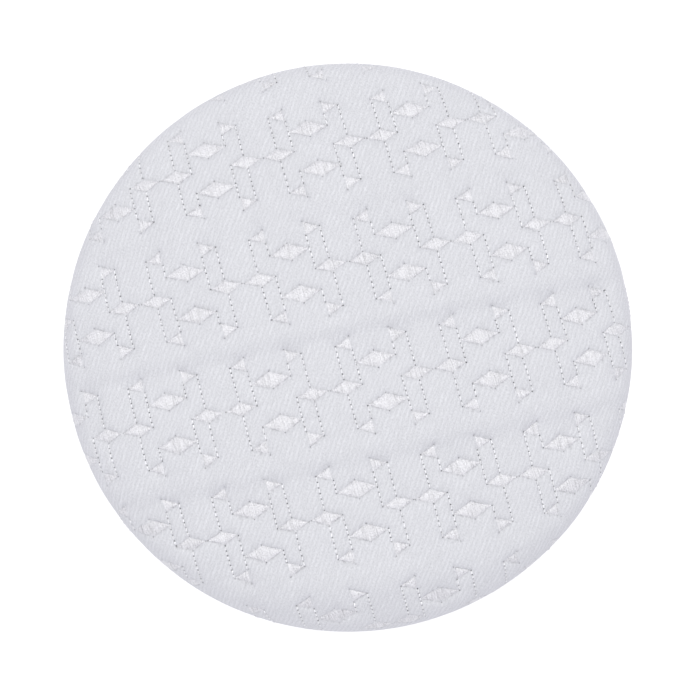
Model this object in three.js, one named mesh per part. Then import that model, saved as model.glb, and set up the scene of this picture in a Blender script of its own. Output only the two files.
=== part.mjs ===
// Embroidered kufi: a round, brimless cap of quilted white cotton twill, with a softly domed top.
// Millimetres, +Z up. The cap rests on its rim: the origin is on the floor, under the crown's centre.
// The front is at -Y, and the side band's ends are sewn together at the back, +Y.
import * as THREE from 'three';
import { mergeVertices } from 'three/addons/utils/BufferGeometryUtils.js';

// ---- driving dimensions ------------------------------------------------------------------------

const HEAD_RADIUS = 89;         // inside of the turned hem: a head 56 cm round
const CROWN_RADIUS = 91.5;      // widest point of the crown's rolled edge
const TOTAL_HEIGHT = 100;       // floor to the middle of the crown
const WALL = 3;                 // padded quilting: twill, wadding and backing
const GAP = 0.3;                // clearance between sewn pieces

const DOME_DROP = 13;           // fall of the crown's surface from its middle, if carried to CROWN_RADIUS
const DOME_POWER = 4;           // flat in the middle, steeper towards the edge
const ROLL_RADIUS = 8;          // outside radius of the rolled edge
const ROLL_UNDERCUT = 18;       // degrees that the rolled edge turns in under its widest point

const HEM_HEIGHT = 12;          // plain hem, outside
const HEM_RETURN = 24;          // the hem's inner leaf reaches this high
const HEM_LEAF = 1;             // thickness of that leaf
const HEM_EDGE = 0.9;           // rounding of the folded edge

const SEAM_PULL = 1.1;          // how far a seam draws the padded wall in
const SEAM_REACH = 5;           // height over which the wall recovers from that
const BACK_GROOVE_DEPTH = 1.2;  // valley along the back seam
const BACK_GROOVE_SPREAD = 2;   // degrees from that valley to full padding

const ALLOWANCE_THICKNESS = 2.2;
const ALLOWANCE_HEIGHT = 7.5;
const FLAP_THICKNESS = 1.5;     // the back seam's pressed-open edges
const FLAP_WIDTH = 9;
const FLAP_NOTCH = 0.7;         // depth of the valley between them
const FLAP_NOTCH_SHARE = 1 / 8; // its half-width, as a share of a flap

const ROW_TILT = 11.8;          // degrees that the rows of embroidery rise towards +X across the crown
const SAG_DEPTH = 1.6;          // the crown's edge sags a little at the front
const SAG_DIRECTION = -105;     // degrees from +X round to +Y
const SAG_RADIUS = 82;
const SAG_WIDTH = 9;

const SEGMENTS = 72;            // facets round the cap
const DOME_RINGS = { outside: 16, inside: 10 };
const ROLL_STEPS = { outside: 6, inside: 4 };
const BAND_RINGS = { outside: 16, inside: 4 };
const EDGE_STEPS = 3;
const MERGE_DISTANCE = 1e-4;

// Soft creases between the rows of embroidery, where the quilting bends. On the crown, offset is
// measured across the rows from its middle towards the back. On the band it is the height.
const CROWN_CREASES = [
  { offset: 45.5, depth: 0.5, width: 6 },
  { offset: 6.0, depth: 0.9, width: 5 },
  { offset: -33.0, depth: 0.8, width: 5 },
  { offset: -72.5, depth: 1.0, width: 8 },
];
const BAND_CREASES = [
  { offset: 47.3, depth: 0.9, width: 6 },
];

// ---- sizes that follow ---------------------------------------------------------------------------

const radians = THREE.MathUtils.degToRad;

const ROLL_START = rollStart();
const ROLL_CENTRE_R = CROWN_RADIUS - ROLL_RADIUS;
const ROLL_CENTRE_Z = domeHeight(ROLL_START) - ROLL_RADIUS * Math.cos(domeSlope(ROLL_START));
const SEAM_Z = ROLL_CENTRE_Z - ROLL_RADIUS * Math.sin(radians(ROLL_UNDERCUT));
const SEAM_RADIUS = ROLL_CENTRE_R + ROLL_RADIUS * Math.cos(radians(ROLL_UNDERCUT));

const BAND_TOP = SEAM_Z - GAP;
const BAND_BOTTOM = HEM_HEIGHT + GAP;
const BAND_INNER_BOTTOM = HEAD_RADIUS + HEM_LEAF + GAP;
const BAND_OUTER_BOTTOM = BAND_INNER_BOTTOM + WALL;
const BAND_OUTER_TOP = SEAM_RADIUS + SEAM_PULL;

// ---- surfaces --------------------------------------------------------------------------------------

// Height of the crown's outside at a radius, inside its rolled edge.
function domeHeight(radius) {
  return TOTAL_HEIGHT - DOME_DROP * (radius / CROWN_RADIUS) ** DOME_POWER;
}

// Slope of that surface, in radians down from level.
function domeSlope(radius) {
  const steepness = (DOME_POWER * DOME_DROP) / CROWN_RADIUS;
  return Math.atan(steepness * (radius / CROWN_RADIUS) ** (DOME_POWER - 1));
}

// Radius at which the dome runs smoothly into the rolled edge, found by a few repeats.
function rollStart() {
  let radius = CROWN_RADIUS;
  for (let pass = 0; pass < 30; pass += 1) {
    radius = CROWN_RADIUS - ROLL_RADIUS * (1 - Math.sin(domeSlope(radius)));
  }
  return radius;
}

// Depth of a row of soft creases at a place measured across them.
function creaseDepth(creases, place) {
  return creases.reduce(
    (sum, crease) => sum + crease.depth * Math.exp(-(((place - crease.offset) / crease.width) ** 2)),
    0,
  );
}

// How far the crown's padding sinks at a point: its creases, which end at the rolled edge, and the sag.
function crownSink(x, y) {
  const tilt = radians(ROW_TILT);
  const acrossRows = y * Math.cos(tilt) - x * Math.sin(tilt);
  const radius = Math.hypot(x, y);
  const towardsSag = Math.cos(Math.atan2(y, x) - radians(SAG_DIRECTION));
  const sagBand = Math.exp(-(((radius - SAG_RADIUS) / SAG_WIDTH) ** 2));
  const sag = SAG_DEPTH * Math.max(0, towardsSag) ** 2 * sagBand;
  const fade = 1 - THREE.MathUtils.smoothstep(radius, ROLL_START - WALL, CROWN_RADIUS);
  return (creaseDepth(CROWN_CREASES, acrossRows) + sag) * fade;
}

// Outside radius of the side band at a height: a slight taper, drawn in at both of its seams.
function bandRadius(height) {
  const rise = (height - BAND_BOTTOM) / (BAND_TOP - BAND_BOTTOM);
  const straight = THREE.MathUtils.lerp(BAND_OUTER_BOTTOM, BAND_OUTER_TOP, rise);
  const fromTop = (BAND_TOP - height) / SEAM_REACH;
  const fromHem = (height - BAND_BOTTOM) / SEAM_REACH;
  const pull = SEAM_PULL * (Math.exp(-(fromTop ** 2)) + 0.5 * Math.exp(-(fromHem ** 2)));
  return straight - pull - creaseDepth(BAND_CREASES, height);
}

// Inside radius of the side band. The backing is flatter than the outside.
function bandInnerRadius(height) {
  const rise = (height - BAND_BOTTOM) / (BAND_TOP - BAND_BOTTOM);
  return THREE.MathUtils.lerp(BAND_INNER_BOTTOM, SEAM_RADIUS - WALL, rise);
}

// ---- solids of revolution, then shaped -----------------------------------------------------------

// Points of an arc in a section, from one angle to another, in degrees from +r towards +z.
function arcPoints(centreR, centreZ, radius, from, to, steps) {
  const points = [];
  for (let step = 0; step <= steps; step += 1) {
    const angle = radians(THREE.MathUtils.lerp(from, to, step / steps));
    points.push(new THREE.Vector2(centreR + radius * Math.cos(angle), centreZ + radius * Math.sin(angle)));
  }
  return points;
}

// Points of a section between two heights, at the radius that a function gives.
function wallPoints(radiusAt, from, to, steps) {
  const points = [];
  for (let step = 0; step <= steps; step += 1) {
    const height = THREE.MathUtils.lerp(from, to, step / steps);
    points.push(new THREE.Vector2(radiusAt(height), height));
  }
  return points;
}

// One closed skin: points at the same place are joined.
function joined(geometry) {
  geometry.deleteAttribute('normal');
  geometry.deleteAttribute('uv');
  const skin = mergeVertices(geometry, MERGE_DISTANCE);
  skin.computeVertexNormals();
  return skin;
}

// A closed body turned about Z from a section, whose outer side runs upwards.
function revolve(section) {
  const geometry = new THREE.LatheGeometry(section, SEGMENTS);
  geometry.rotateX(Math.PI / 2);
  return joined(geometry);
}

// Moves every point of a geometry with a function that changes a THREE.Vector3 in place.
function shape(geometry, move) {
  const position = geometry.getAttribute('position');
  const point = new THREE.Vector3();
  for (let index = 0; index < position.count; index += 1) {
    point.fromBufferAttribute(position, index);
    move(point);
    position.setXYZ(index, point.x, point.y, point.z);
  }
  geometry.computeVertexNormals();
  return geometry;
}

// ---- pieces ----------------------------------------------------------------------------------------

// Round top with its rolled edge: the outside dome, the sewn edge and the inside, as one padded wall.
function crownPanel() {
  const side = (inset, rings, rollSteps) => {
    const points = [];
    for (let ring = 0; ring < rings; ring += 1) {
      const radius = (ROLL_START * ring) / rings;
      const slope = domeSlope(radius);
      const inward = radius - inset * Math.sin(slope);
      points.push(new THREE.Vector2(inward, domeHeight(radius) - inset * Math.cos(slope)));
    }
    const from = 90 - THREE.MathUtils.radToDeg(domeSlope(ROLL_START));
    return points.concat(
      arcPoints(ROLL_CENTRE_R, ROLL_CENTRE_Z, ROLL_RADIUS - inset, from, -ROLL_UNDERCUT, rollSteps),
    );
  };
  const inside = side(WALL, DOME_RINGS.inside, ROLL_STEPS.inside);
  const outside = side(0, DOME_RINGS.outside, ROLL_STEPS.outside);
  return shape(revolve([...inside, ...outside.reverse()]), (point) => {
    point.z -= crownSink(point.x, point.y);
  });
}

// Quilted side wall. Its ends meet in a valley at the back.
function sideBand() {
  const outside = wallPoints(bandRadius, BAND_BOTTOM, BAND_TOP, BAND_RINGS.outside);
  const inside = wallPoints(bandInnerRadius, BAND_TOP, BAND_BOTTOM, BAND_RINGS.inside);
  const section = [...outside, ...inside, outside[0].clone()];
  const columnStep = (2 * Math.PI) / SEGMENTS;
  return shape(revolve(section), (point) => {
    const radius = Math.hypot(point.x, point.y);
    const fromBack = Math.atan2(point.x, point.y);
    const column = Math.round(fromBack / columnStep);
    const outer = radius > (bandRadius(point.z) + bandInnerRadius(point.z)) / 2;
    const angle = Math.abs(column) === 1 ? column * radians(BACK_GROOVE_SPREAD) : fromBack;
    const newRadius = column === 0 && outer ? radius - BACK_GROOVE_DEPTH : radius;
    point.x = newRadius * Math.sin(angle);
    point.y = newRadius * Math.cos(angle);
  });
}

// Plain hem round the head opening: a flat foot, a folded outer edge and a thin leaf up the inside.
function turnedHem() {
  const outer = BAND_OUTER_BOTTOM - SEAM_PULL / 2;
  const leafOuterAt = (height) => bandInnerRadius(height) - GAP;
  const section = [
    new THREE.Vector2(HEAD_RADIUS + HEM_EDGE, 0),
    ...arcPoints(outer - HEM_EDGE, HEM_EDGE, HEM_EDGE, -90, 0, EDGE_STEPS),
    ...arcPoints(outer - HEM_EDGE, HEM_HEIGHT - HEM_EDGE, HEM_EDGE, 0, 90, EDGE_STEPS),
    new THREE.Vector2(leafOuterAt(BAND_BOTTOM), HEM_HEIGHT),
    new THREE.Vector2(leafOuterAt(HEM_RETURN), HEM_RETURN),
    new THREE.Vector2(leafOuterAt(HEM_RETURN) - HEM_LEAF, HEM_RETURN),
    ...arcPoints(HEAD_RADIUS + HEM_EDGE, HEM_EDGE, HEM_EDGE, 180, 270, EDGE_STEPS),
  ];
  return revolve(section);
}

// Raw edges of the crown and the band, sewn together and turned down inside.
function crownSeamAllowance() {
  const top = BAND_TOP - GAP;
  const bottom = top - ALLOWANCE_HEIGHT;
  const outerAt = (height) => bandInnerRadius(height) - GAP;
  const innerAt = (height) => outerAt(height) - ALLOWANCE_THICKNESS;
  const outside = wallPoints(outerAt, bottom, top, 1);
  const inside = wallPoints(innerAt, top, bottom, 1);
  return revolve([...outside, ...inside, outside[0].clone()]);
}

// The band's sewn ends at the back, pressed open into two flaps with a valley between them.
function backSeamAllowance() {
  const bottom = HEM_RETURN + GAP;
  const top = BAND_TOP - ALLOWANCE_HEIGHT - 2 * GAP;
  const outline = new THREE.Shape();
  const outer = bandInnerRadius(top) - 2 * GAP;
  const inner = outer - FLAP_THICKNESS;
  const halfAngle = FLAP_WIDTH / outer;
  const notchAngle = halfAngle * FLAP_NOTCH_SHARE;
  const back = Math.PI / 2;
  outline.absarc(0, 0, outer, back - halfAngle, back + halfAngle, false);
  outline.absarc(0, 0, inner, back + halfAngle, back + notchAngle, true);
  outline.lineTo(0, inner + FLAP_NOTCH);
  outline.absarc(0, 0, inner, back - notchAngle, back - halfAngle, true);
  outline.closePath();
  const geometry = new THREE.ExtrudeGeometry(outline, {
    depth: top - bottom, bevelEnabled: false, curveSegments: 4,
  });
  geometry.translate(0, 0, bottom);
  const lean = bandInnerRadius(bottom) - bandInnerRadius(top);
  return shape(joined(geometry), (point) => {
    const towardsFloor = (top - point.z) / (top - bottom);
    point.y += lean * towardsFloor;
  });
}

// ---- assembly ------------------------------------------------------------------------------------

const quiltedTwill = new THREE.MeshStandardMaterial({ color: 0xdfe1e6, roughness: 0.88, metalness: 0 });
const plainTwill = new THREE.MeshStandardMaterial({ color: 0xdcdee3, roughness: 0.9, metalness: 0 });
const rawEdge = new THREE.MeshStandardMaterial({ color: 0xe2e3e6, roughness: 0.95, metalness: 0 });

const pieces = [
  { name: 'crown_panel', build: crownPanel, material: quiltedTwill },
  { name: 'side_band', build: sideBand, material: quiltedTwill },
  { name: 'turned_hem', build: turnedHem, material: plainTwill },
  { name: 'crown_seam_allowance', build: crownSeamAllowance, material: rawEdge },
  { name: 'back_seam_allowance', build: backSeamAllowance, material: rawEdge },
];

const kufi = new THREE.Group();
for (const piece of pieces) {
  const mesh = new THREE.Mesh(piece.build(), piece.material.clone());
  mesh.name = piece.name;
  kufi.add(mesh);
}

export default kufi;
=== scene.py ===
"""Looks of an embroidered kufi: quilted white twill, satin-stitched motifs and a plain turned hem.

Lengths are millimetres until a mesh is made, and metres in Blender. +Z is up, the front is -Y and
the back seam is at +Y. Each class holds the sizes of one part of the cap and builds its meshes.
"""

from __future__ import annotations

import logging
import math
from dataclasses import dataclass, field
from enum import Enum
from typing import Callable, Iterable, Sequence

import bpy
import numpy as np
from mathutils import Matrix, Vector
from mathutils.geometry import delaunay_2d_cdt

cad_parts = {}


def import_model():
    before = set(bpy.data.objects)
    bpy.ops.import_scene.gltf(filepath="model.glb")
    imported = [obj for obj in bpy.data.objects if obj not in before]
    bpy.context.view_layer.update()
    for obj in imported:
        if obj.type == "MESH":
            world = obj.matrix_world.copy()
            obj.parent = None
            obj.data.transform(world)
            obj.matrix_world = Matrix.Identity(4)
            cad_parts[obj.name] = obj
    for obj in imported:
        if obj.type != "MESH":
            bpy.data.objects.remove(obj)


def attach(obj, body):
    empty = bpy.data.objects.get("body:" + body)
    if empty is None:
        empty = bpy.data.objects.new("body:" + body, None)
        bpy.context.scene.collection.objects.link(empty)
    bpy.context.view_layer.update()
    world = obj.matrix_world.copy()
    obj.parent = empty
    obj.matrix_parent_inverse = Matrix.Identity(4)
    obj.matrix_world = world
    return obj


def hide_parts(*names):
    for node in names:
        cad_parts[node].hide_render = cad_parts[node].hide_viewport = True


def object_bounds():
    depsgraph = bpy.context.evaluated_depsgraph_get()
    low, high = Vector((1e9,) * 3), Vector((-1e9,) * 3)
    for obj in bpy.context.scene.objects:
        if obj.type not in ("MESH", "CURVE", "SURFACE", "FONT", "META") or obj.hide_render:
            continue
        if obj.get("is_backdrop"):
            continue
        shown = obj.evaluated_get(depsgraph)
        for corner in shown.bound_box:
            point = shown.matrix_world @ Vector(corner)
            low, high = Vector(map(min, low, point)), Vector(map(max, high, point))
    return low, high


LOG = logging.getLogger("kufi")

MM = 0.001
BODY = "root"
FABRIC_MAP = "fabric"
# Vertex attribute that darkens colour: painted shade in needle holes, round satin patches, between threads
# and on the rolled rim, and the threads' random tone.
PIT_ATTRIBUTE = "pit"

Points = np.ndarray
Pair = tuple[float, float]
Material = bpy.types.Material
NodeTree = bpy.types.NodeTree
Piece = bpy.types.Object


# ---- small tools ----


def smoothstep(value: Points, low: float, high: float) -> Points:
    """Smooth ramp from 0 at low to 1 at high.

    Args:
        value: Numbers to ramp.
        low: Where the ramp starts.
        high: Where it ends.

    Returns:
        The ramped numbers.
    """
    share = np.clip((value - low) / (high - low), 0.0, 1.0)
    return share * share * (3.0 - 2.0 * share)


def bell(distance: Points, width: float) -> Points:
    """Bell curve: 1 at no distance, falling off over width."""
    return np.exp(-((distance / width) ** 2))


@dataclass
class Ripple:
    """Gentle unevenness of soft cloth: a few crossed waves with random directions and phases."""

    seed: int
    shortest: float
    longest: float
    waves: int = 9

    def __post_init__(self) -> None:
        """Draws the waves once, so that the same seed gives the same cloth."""
        rng = np.random.default_rng(self.seed)
        length = self.shortest * (self.longest / self.shortest) ** rng.random(self.waves)
        heading = rng.random(self.waves) * 2.0 * math.pi
        self.across = np.stack([np.cos(heading), np.sin(heading)]) * (2.0 * math.pi / length)
        self.phase = rng.random(self.waves) * 2.0 * math.pi
        self.weight = length / length.sum()

    def at(self, flat: Points) -> Points:
        """Height of the ripple, from about -1 to 1.

        Args:
            flat: Places on the flat cloth, the last index for their two distances.

        Returns:
            One height for each place.
        """
        return np.sin(flat @ self.across + self.phase) @ self.weight * 2.0


def clear_of(points: Points, keep_out: Points, gap: float) -> Points:
    """Which points don't lie within about a gap of others.

    Args:
        points: Points to look at.
        keep_out: Points whose surroundings are kept free.
        gap: Distance to keep free.

    Returns:
        True for each point that is clear.
    """
    cell = gap / 2.0
    low = np.minimum(points.min(0), keep_out.min(0)) - 2.0 * gap
    size = ((np.maximum(points.max(0), keep_out.max(0)) + 2.0 * gap - low) / cell).astype(int) + 1
    taken = np.zeros(size, bool)
    place = ((keep_out - low) / cell).astype(int)
    for step_x in range(-2, 3):
        for step_y in range(-2, 3):
            if step_x * step_x + step_y * step_y <= 5:
                taken[place[:, 0] + step_x, place[:, 1] + step_y] = True
    own = ((points - low) / cell).astype(int)
    return ~taken[own[:, 0], own[:, 1]]


def thinned(points: Points, gap: float) -> Points:
    """Numbers of the points to keep, one in each small square, so that no two fall together."""
    _, first = np.unique(np.round(points / gap).astype(np.int64), axis=0, return_index=True)
    return np.sort(first)


def triangulated(ring: Points, inner: Points) -> tuple[Points, list[list[int]]]:
    """Triangles over a convex outline and the points inside it.

    Args:
        ring: The outline's points, in order.
        inner: Points inside it.

    Returns:
        All points, with the ring's first and in order, and the triangles, facing up.
    """
    every = np.concatenate([ring, inner])
    found = delaunay_2d_cdt([Vector(p) for p in every], [], [], 0, 1e-6)
    flat = np.array([tuple(p) for p in found[0]])
    if len(flat) != len(every):
        raise ValueError("two points of a cloth fell together")
    faces = [list(f) for f in found[2]]
    corners = flat[np.array(faces)]
    one, two = corners[:, 1] - corners[:, 0], corners[:, 2] - corners[:, 0]
    turn = one[:, 0] * two[:, 1] - one[:, 1] * two[:, 0]
    return flat, [f if t > 0 else f[::-1] for f, t in zip(faces, turn) if abs(t) > 1e-7]


def hex_grid(low: Sequence[float], high: Sequence[float], pitch: float) -> Points:
    """Evenly spaced points over a rectangle, each row shifted by half a step.

    Args:
        low: The rectangle's low corner.
        high: Its high corner.
        pitch: Distance between neighbours.

    Returns:
        The points.
    """
    rows = np.arange(low[1], high[1], pitch * math.sqrt(0.75))
    columns = np.arange(low[0], high[0], pitch)
    return np.concatenate([pairs(columns + (i % 2) * pitch / 2.0, y) for i, y in enumerate(rows)])


def circle(count: int) -> Points:
    """Even points round a circle of radius 1."""
    turn = np.arange(count) * 2.0 * math.pi / count
    return pairs(np.cos(turn), np.sin(turn))


def pairs(one: Points, two: Points) -> Points:
    """Two grids of numbers, spread to the same shape and set side by side as pairs."""
    return np.stack(np.broadcast_arrays(one, two), -1)


class MeshBook:
    """Collects vertices, faces and their cloth coordinates, and makes one mesh object of them."""

    def __init__(self) -> None:
        """Starts empty."""
        self.places: list[Points] = []
        self.flats: list[Points] = []
        self.pits: list[Points] = []
        self.faces: list[Sequence[int]] = []
        self.slots: list[int] = []
        self.creased: list[tuple[int, int]] = []
        self.count = 0

    def add(self, places: Points, flats: Points, faces: Iterable[Sequence[int]], slot: int = 0,
            pits: Points | None = None) -> int:
        """Adds one patch of mesh.

        Args:
            places: Vertices, in millimetres.
            flats: Their cloth coordinates, in millimetres.
            faces: Faces, counted from the patch's first vertex.
            slot: Material slot of the faces.
            pits: Darkening of each vertex, from 0 to 1: painted shade in holes and dents, and thread tone.

        Returns:
            The number of the patch's first vertex in the whole mesh.
        """
        start = self.count
        self.places.append(places)
        self.flats.append(flats)
        self.pits.append(np.zeros(len(places)) if pits is None else pits)
        new = [[start + i for i in f] for f in faces]
        self.faces.extend(new)
        self.slots.extend([slot] * len(new))
        self.count += len(places)
        return start

    def join(self, faces: Iterable[Sequence[int]], slot: int = 0) -> None:
        """Adds faces between vertices of any patches, counted in the whole mesh.

        Args:
            faces: Faces, counted in the whole mesh.
            slot: Material slot of the faces.
        """
        new = list(faces)
        self.faces.extend(new)
        self.slots.extend([slot] * len(new))

    def crease(self, edges: Iterable[tuple[int, int]]) -> None:
        """Marks edges that shade as a crisp fold, as the dents between threads do."""
        self.creased.extend((int(min(e)), int(max(e))) for e in edges)

    def _mark_creases(self, mesh: bpy.types.Mesh) -> None:
        """Marks the creased edges on the mesh.

        Args:
            mesh: The mesh, with its edges made.
        """
        ends = np.zeros(len(mesh.edges) * 2, np.int32)
        mesh.edges.foreach_get("vertices", ends)
        ends = np.sort(ends.reshape(-1, 2).astype(np.int64), 1)
        wanted = np.array(self.creased, np.int64)
        sharp = np.isin(ends[:, 0] * self.count + ends[:, 1], wanted[:, 0] * self.count + wanted[:, 1])
        mesh.attributes.new("sharp_edge", "BOOLEAN", "EDGE").data.foreach_set("value", sharp)

    def build(self, name: str, materials: Sequence[Material]) -> Piece:
        """Makes the object, smooth-shaded, riding on the cap's body.

        Args:
            name: The piece's name.
            materials: One for each slot.

        Returns:
            The new object.
        """
        mesh = bpy.data.meshes.new(name)
        places = np.concatenate(self.places) * MM
        mesh.from_pydata(places.tolist(), [], self.faces)
        for material in materials:
            mesh.materials.append(material)
        mesh.polygons.foreach_set("material_index", self.slots)
        mesh.polygons.foreach_set("use_smooth", [True] * len(self.faces))
        corners = np.zeros(len(mesh.loops), np.int32)
        mesh.loops.foreach_get("vertex_index", corners)
        fabric = mesh.uv_layers.new(name=FABRIC_MAP)
        flat = np.concatenate(self.flats)[corners].astype(np.float32)
        fabric.data.foreach_set("uv", flat.ravel())
        pit = mesh.attributes.new(PIT_ATTRIBUTE, "FLOAT", "POINT")
        pit.data.foreach_set("value", np.concatenate(self.pits).astype(np.float32))
        if self.creased:
            self._mark_creases(mesh)
        mesh.validate()
        mesh.update()
        piece = bpy.data.objects.new(name, mesh)
        bpy.context.scene.collection.objects.link(piece)
        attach(piece, BODY)
        LOG.info("%s: %d faces", name, len(mesh.polygons))
        return piece


# ---- the embroidery ----


class Draw(Enum):
    """What a cloth's random numbers are drawn for. Each has a run of its own."""

    SATIN = 100
    RUNNING = 200
    HOLES = 300
    OUTLINES = 400


@dataclass(frozen=True)
class Patch:
    """One satin-stitched patch: a convex outline on the flat cloth, in order."""

    corners: Points


@dataclass(frozen=True)
class Line:
    """One line of running stitch on the flat cloth."""

    start: Points
    end: Points
    stitches: int

    @property
    def holes(self) -> Points:
        """Places where the needle goes through the cloth."""
        return np.linspace(self.start, self.end, self.stitches + 1)


@dataclass(frozen=True)
class Chart:
    """The repeating motif, drawn once: pairs of small diamonds, large diamonds, triangles and stems.

    In the chart x runs along a row and y across it. Neighbouring rows are mirror images, half a
    repeat apart.
    """

    repeat: float = 33.56
    row_pitch: float = 38.65
    stem_x: float = 5.4
    outer_x: float = 10.4
    small_half: Pair = (5.0, 2.3)
    large_y: float = 6.97
    large_half: Pair = (6.35, 2.9)
    triangle_base_y: float = 11.05
    triangle_side_y: float = 13.25
    triangle_tip_y: float = 15.75
    stem_lean: float = math.radians(4.2)
    stem_gap: float = 0.15
    stitch: float = 1.7

    def patches(self) -> list[Points]:
        """Corners of every satin patch of one repeat of a row.

        Returns:
            Four corners of each diamond and three of each triangle.
        """
        made = []
        for side in (-1, 1):
            made.append(self._diamond((side * self.stem_x, 0.0), self.small_half))
            made.append(self._diamond((self.repeat / 2.0, side * self.large_y), self.large_half))
        triangle = np.array([(self.stem_x, self.triangle_side_y), (self.outer_x, self.triangle_tip_y),
                             (self.outer_x, self.triangle_base_y)])
        return made + [triangle * (side, end) for side in (-1, 1) for end in (-1, 1)]

    @staticmethod
    def _diamond(centre: Pair, half: Pair) -> Points:
        """Corners of an upright diamond."""
        step = np.array([(-half[0], 0.0), (0.0, -half[1]), (half[0], 0.0), (0.0, half[1])])
        return np.array(centre) + step

    def lines(self) -> list[Points]:
        """Ends of every line of running stitch of one repeat of a row.

        Returns:
            Both ends of each line.
        """
        stem, outer, small = self.stem_x, self.outer_x, self.small_half[1] + self.stem_gap
        base, side, large = self.triangle_base_y, self.triangle_side_y, self.large_y
        made = ((-stem, -side, -small), (-stem, small, side), (stem, -side, -small), (stem, small, side),
                (-outer, -base, 0.0), (outer, 0.0, base), (outer, -base, -large), (-outer, large, base))
        return [np.array([(x, start), (x, end)]) for x, start, end in made]


@dataclass(frozen=True)
class Pull:
    """How far a cloth was pulled out of square when it was sewn, growing with the square of the way out.

    Each direction has three shares: for the place squared to the right, for right times back, and for
    the place squared to the back, in millimetres at one reach.
    """

    reach: float = 75.0
    right: tuple[float, float, float] = (0.0, 0.0, 0.0)
    back: tuple[float, float, float] = (0.0, 0.0, 0.0)

    def at(self, flat: Points) -> Points:
        """Shift of places on the cloth.

        Args:
            flat: Places on the flat cloth.

        Returns:
            One shift for each place.
        """
        x, y = (flat / self.reach).T
        terms = np.stack([x * x, x * y, y * y], 1)
        return terms @ np.array([self.right, self.back]).T


@dataclass
class Layout:
    """The chart laid out over a flat cloth: where a pair's centre lies and how the rows run."""

    chart: Chart
    origin: Pair
    row_angle: float
    rows: tuple[int, int]
    reach: int
    seed: int
    pull: Pull = Pull()
    looseness: float = 0.10
    line_share: float = 0.7
    count_spread: float = 0.3

    def __post_init__(self) -> None:
        """Works out the directions of the rows and the stems."""
        self.along = np.array([math.cos(self.row_angle), math.sin(self.row_angle)])
        down = self.row_angle - math.pi / 2.0 + self.chart.stem_lean
        self.stem = np.array([math.cos(down), math.sin(down)])
        self.to_chart = np.linalg.inv(pairs(self.along, self.stem))

    def flat(self, place: Points, row: int, repeat: int) -> Points:
        """Cloth place of a chart place in one repeat of one row.

        Args:
            place: Chart places.
            row: Number of the row.
            repeat: Number of the repeat in it.

        Returns:
            Places on the flat cloth.
        """
        x, y = place.T
        mirrored = row % 2 == 1
        along = repeat * self.chart.repeat + (-x - self.chart.repeat / 2.0 if mirrored else x)
        across = row * self.chart.row_pitch + y
        square = np.array(self.origin) + np.outer(along, self.along) + np.outer(across, self.stem)
        return square + self.pull.at(square + self.pull.at(square))

    def rng(self, draw: Draw) -> np.random.Generator:
        """Random numbers for one use on this cloth, the same in each run."""
        return np.random.default_rng(self.seed + draw.value)

    def chart_place(self, flat: Points) -> Points:
        """Place along the rows and across them, of places on the cloth."""
        return (flat - self.pull.at(flat) - np.array(self.origin)) @ self.to_chart.T

    def stitched(self, inside: Callable[[Points], Points]) -> tuple[list[Patch], list[Line]]:
        """Every patch and line on the cloth, each a little off its place, as sewn ones are.

        Args:
            inside: Says which cloth places lie on the cloth.

        Returns:
            The patches and the lines.
        """
        rng = np.random.default_rng(self.seed)
        patches: list[Patch] = []
        lines: list[Line] = []
        for row in range(self.rows[0], self.rows[1] + 1):
            for repeat in range(-self.reach, self.reach + 1):
                for corners in self.chart.patches():
                    flat = self.flat(corners, row, repeat)
                    flat = flat + rng.normal(0.0, self.looseness, flat.shape)
                    if inside(flat.mean(0)[None])[0]:
                        patches.append(Patch(flat))
                for ends in self.chart.lines():
                    flat = self.flat(ends, row, repeat)
                    flat = flat + rng.normal(0.0, self.looseness * self.line_share, flat.shape)
                    count = math.dist(flat[0], flat[1]) / self.chart.stitch
                    count += rng.normal(0.0, self.count_spread)
                    if inside(flat).all():
                        lines.append(Line(flat[0], flat[1], max(1, round(count))))
        return patches, lines


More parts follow.
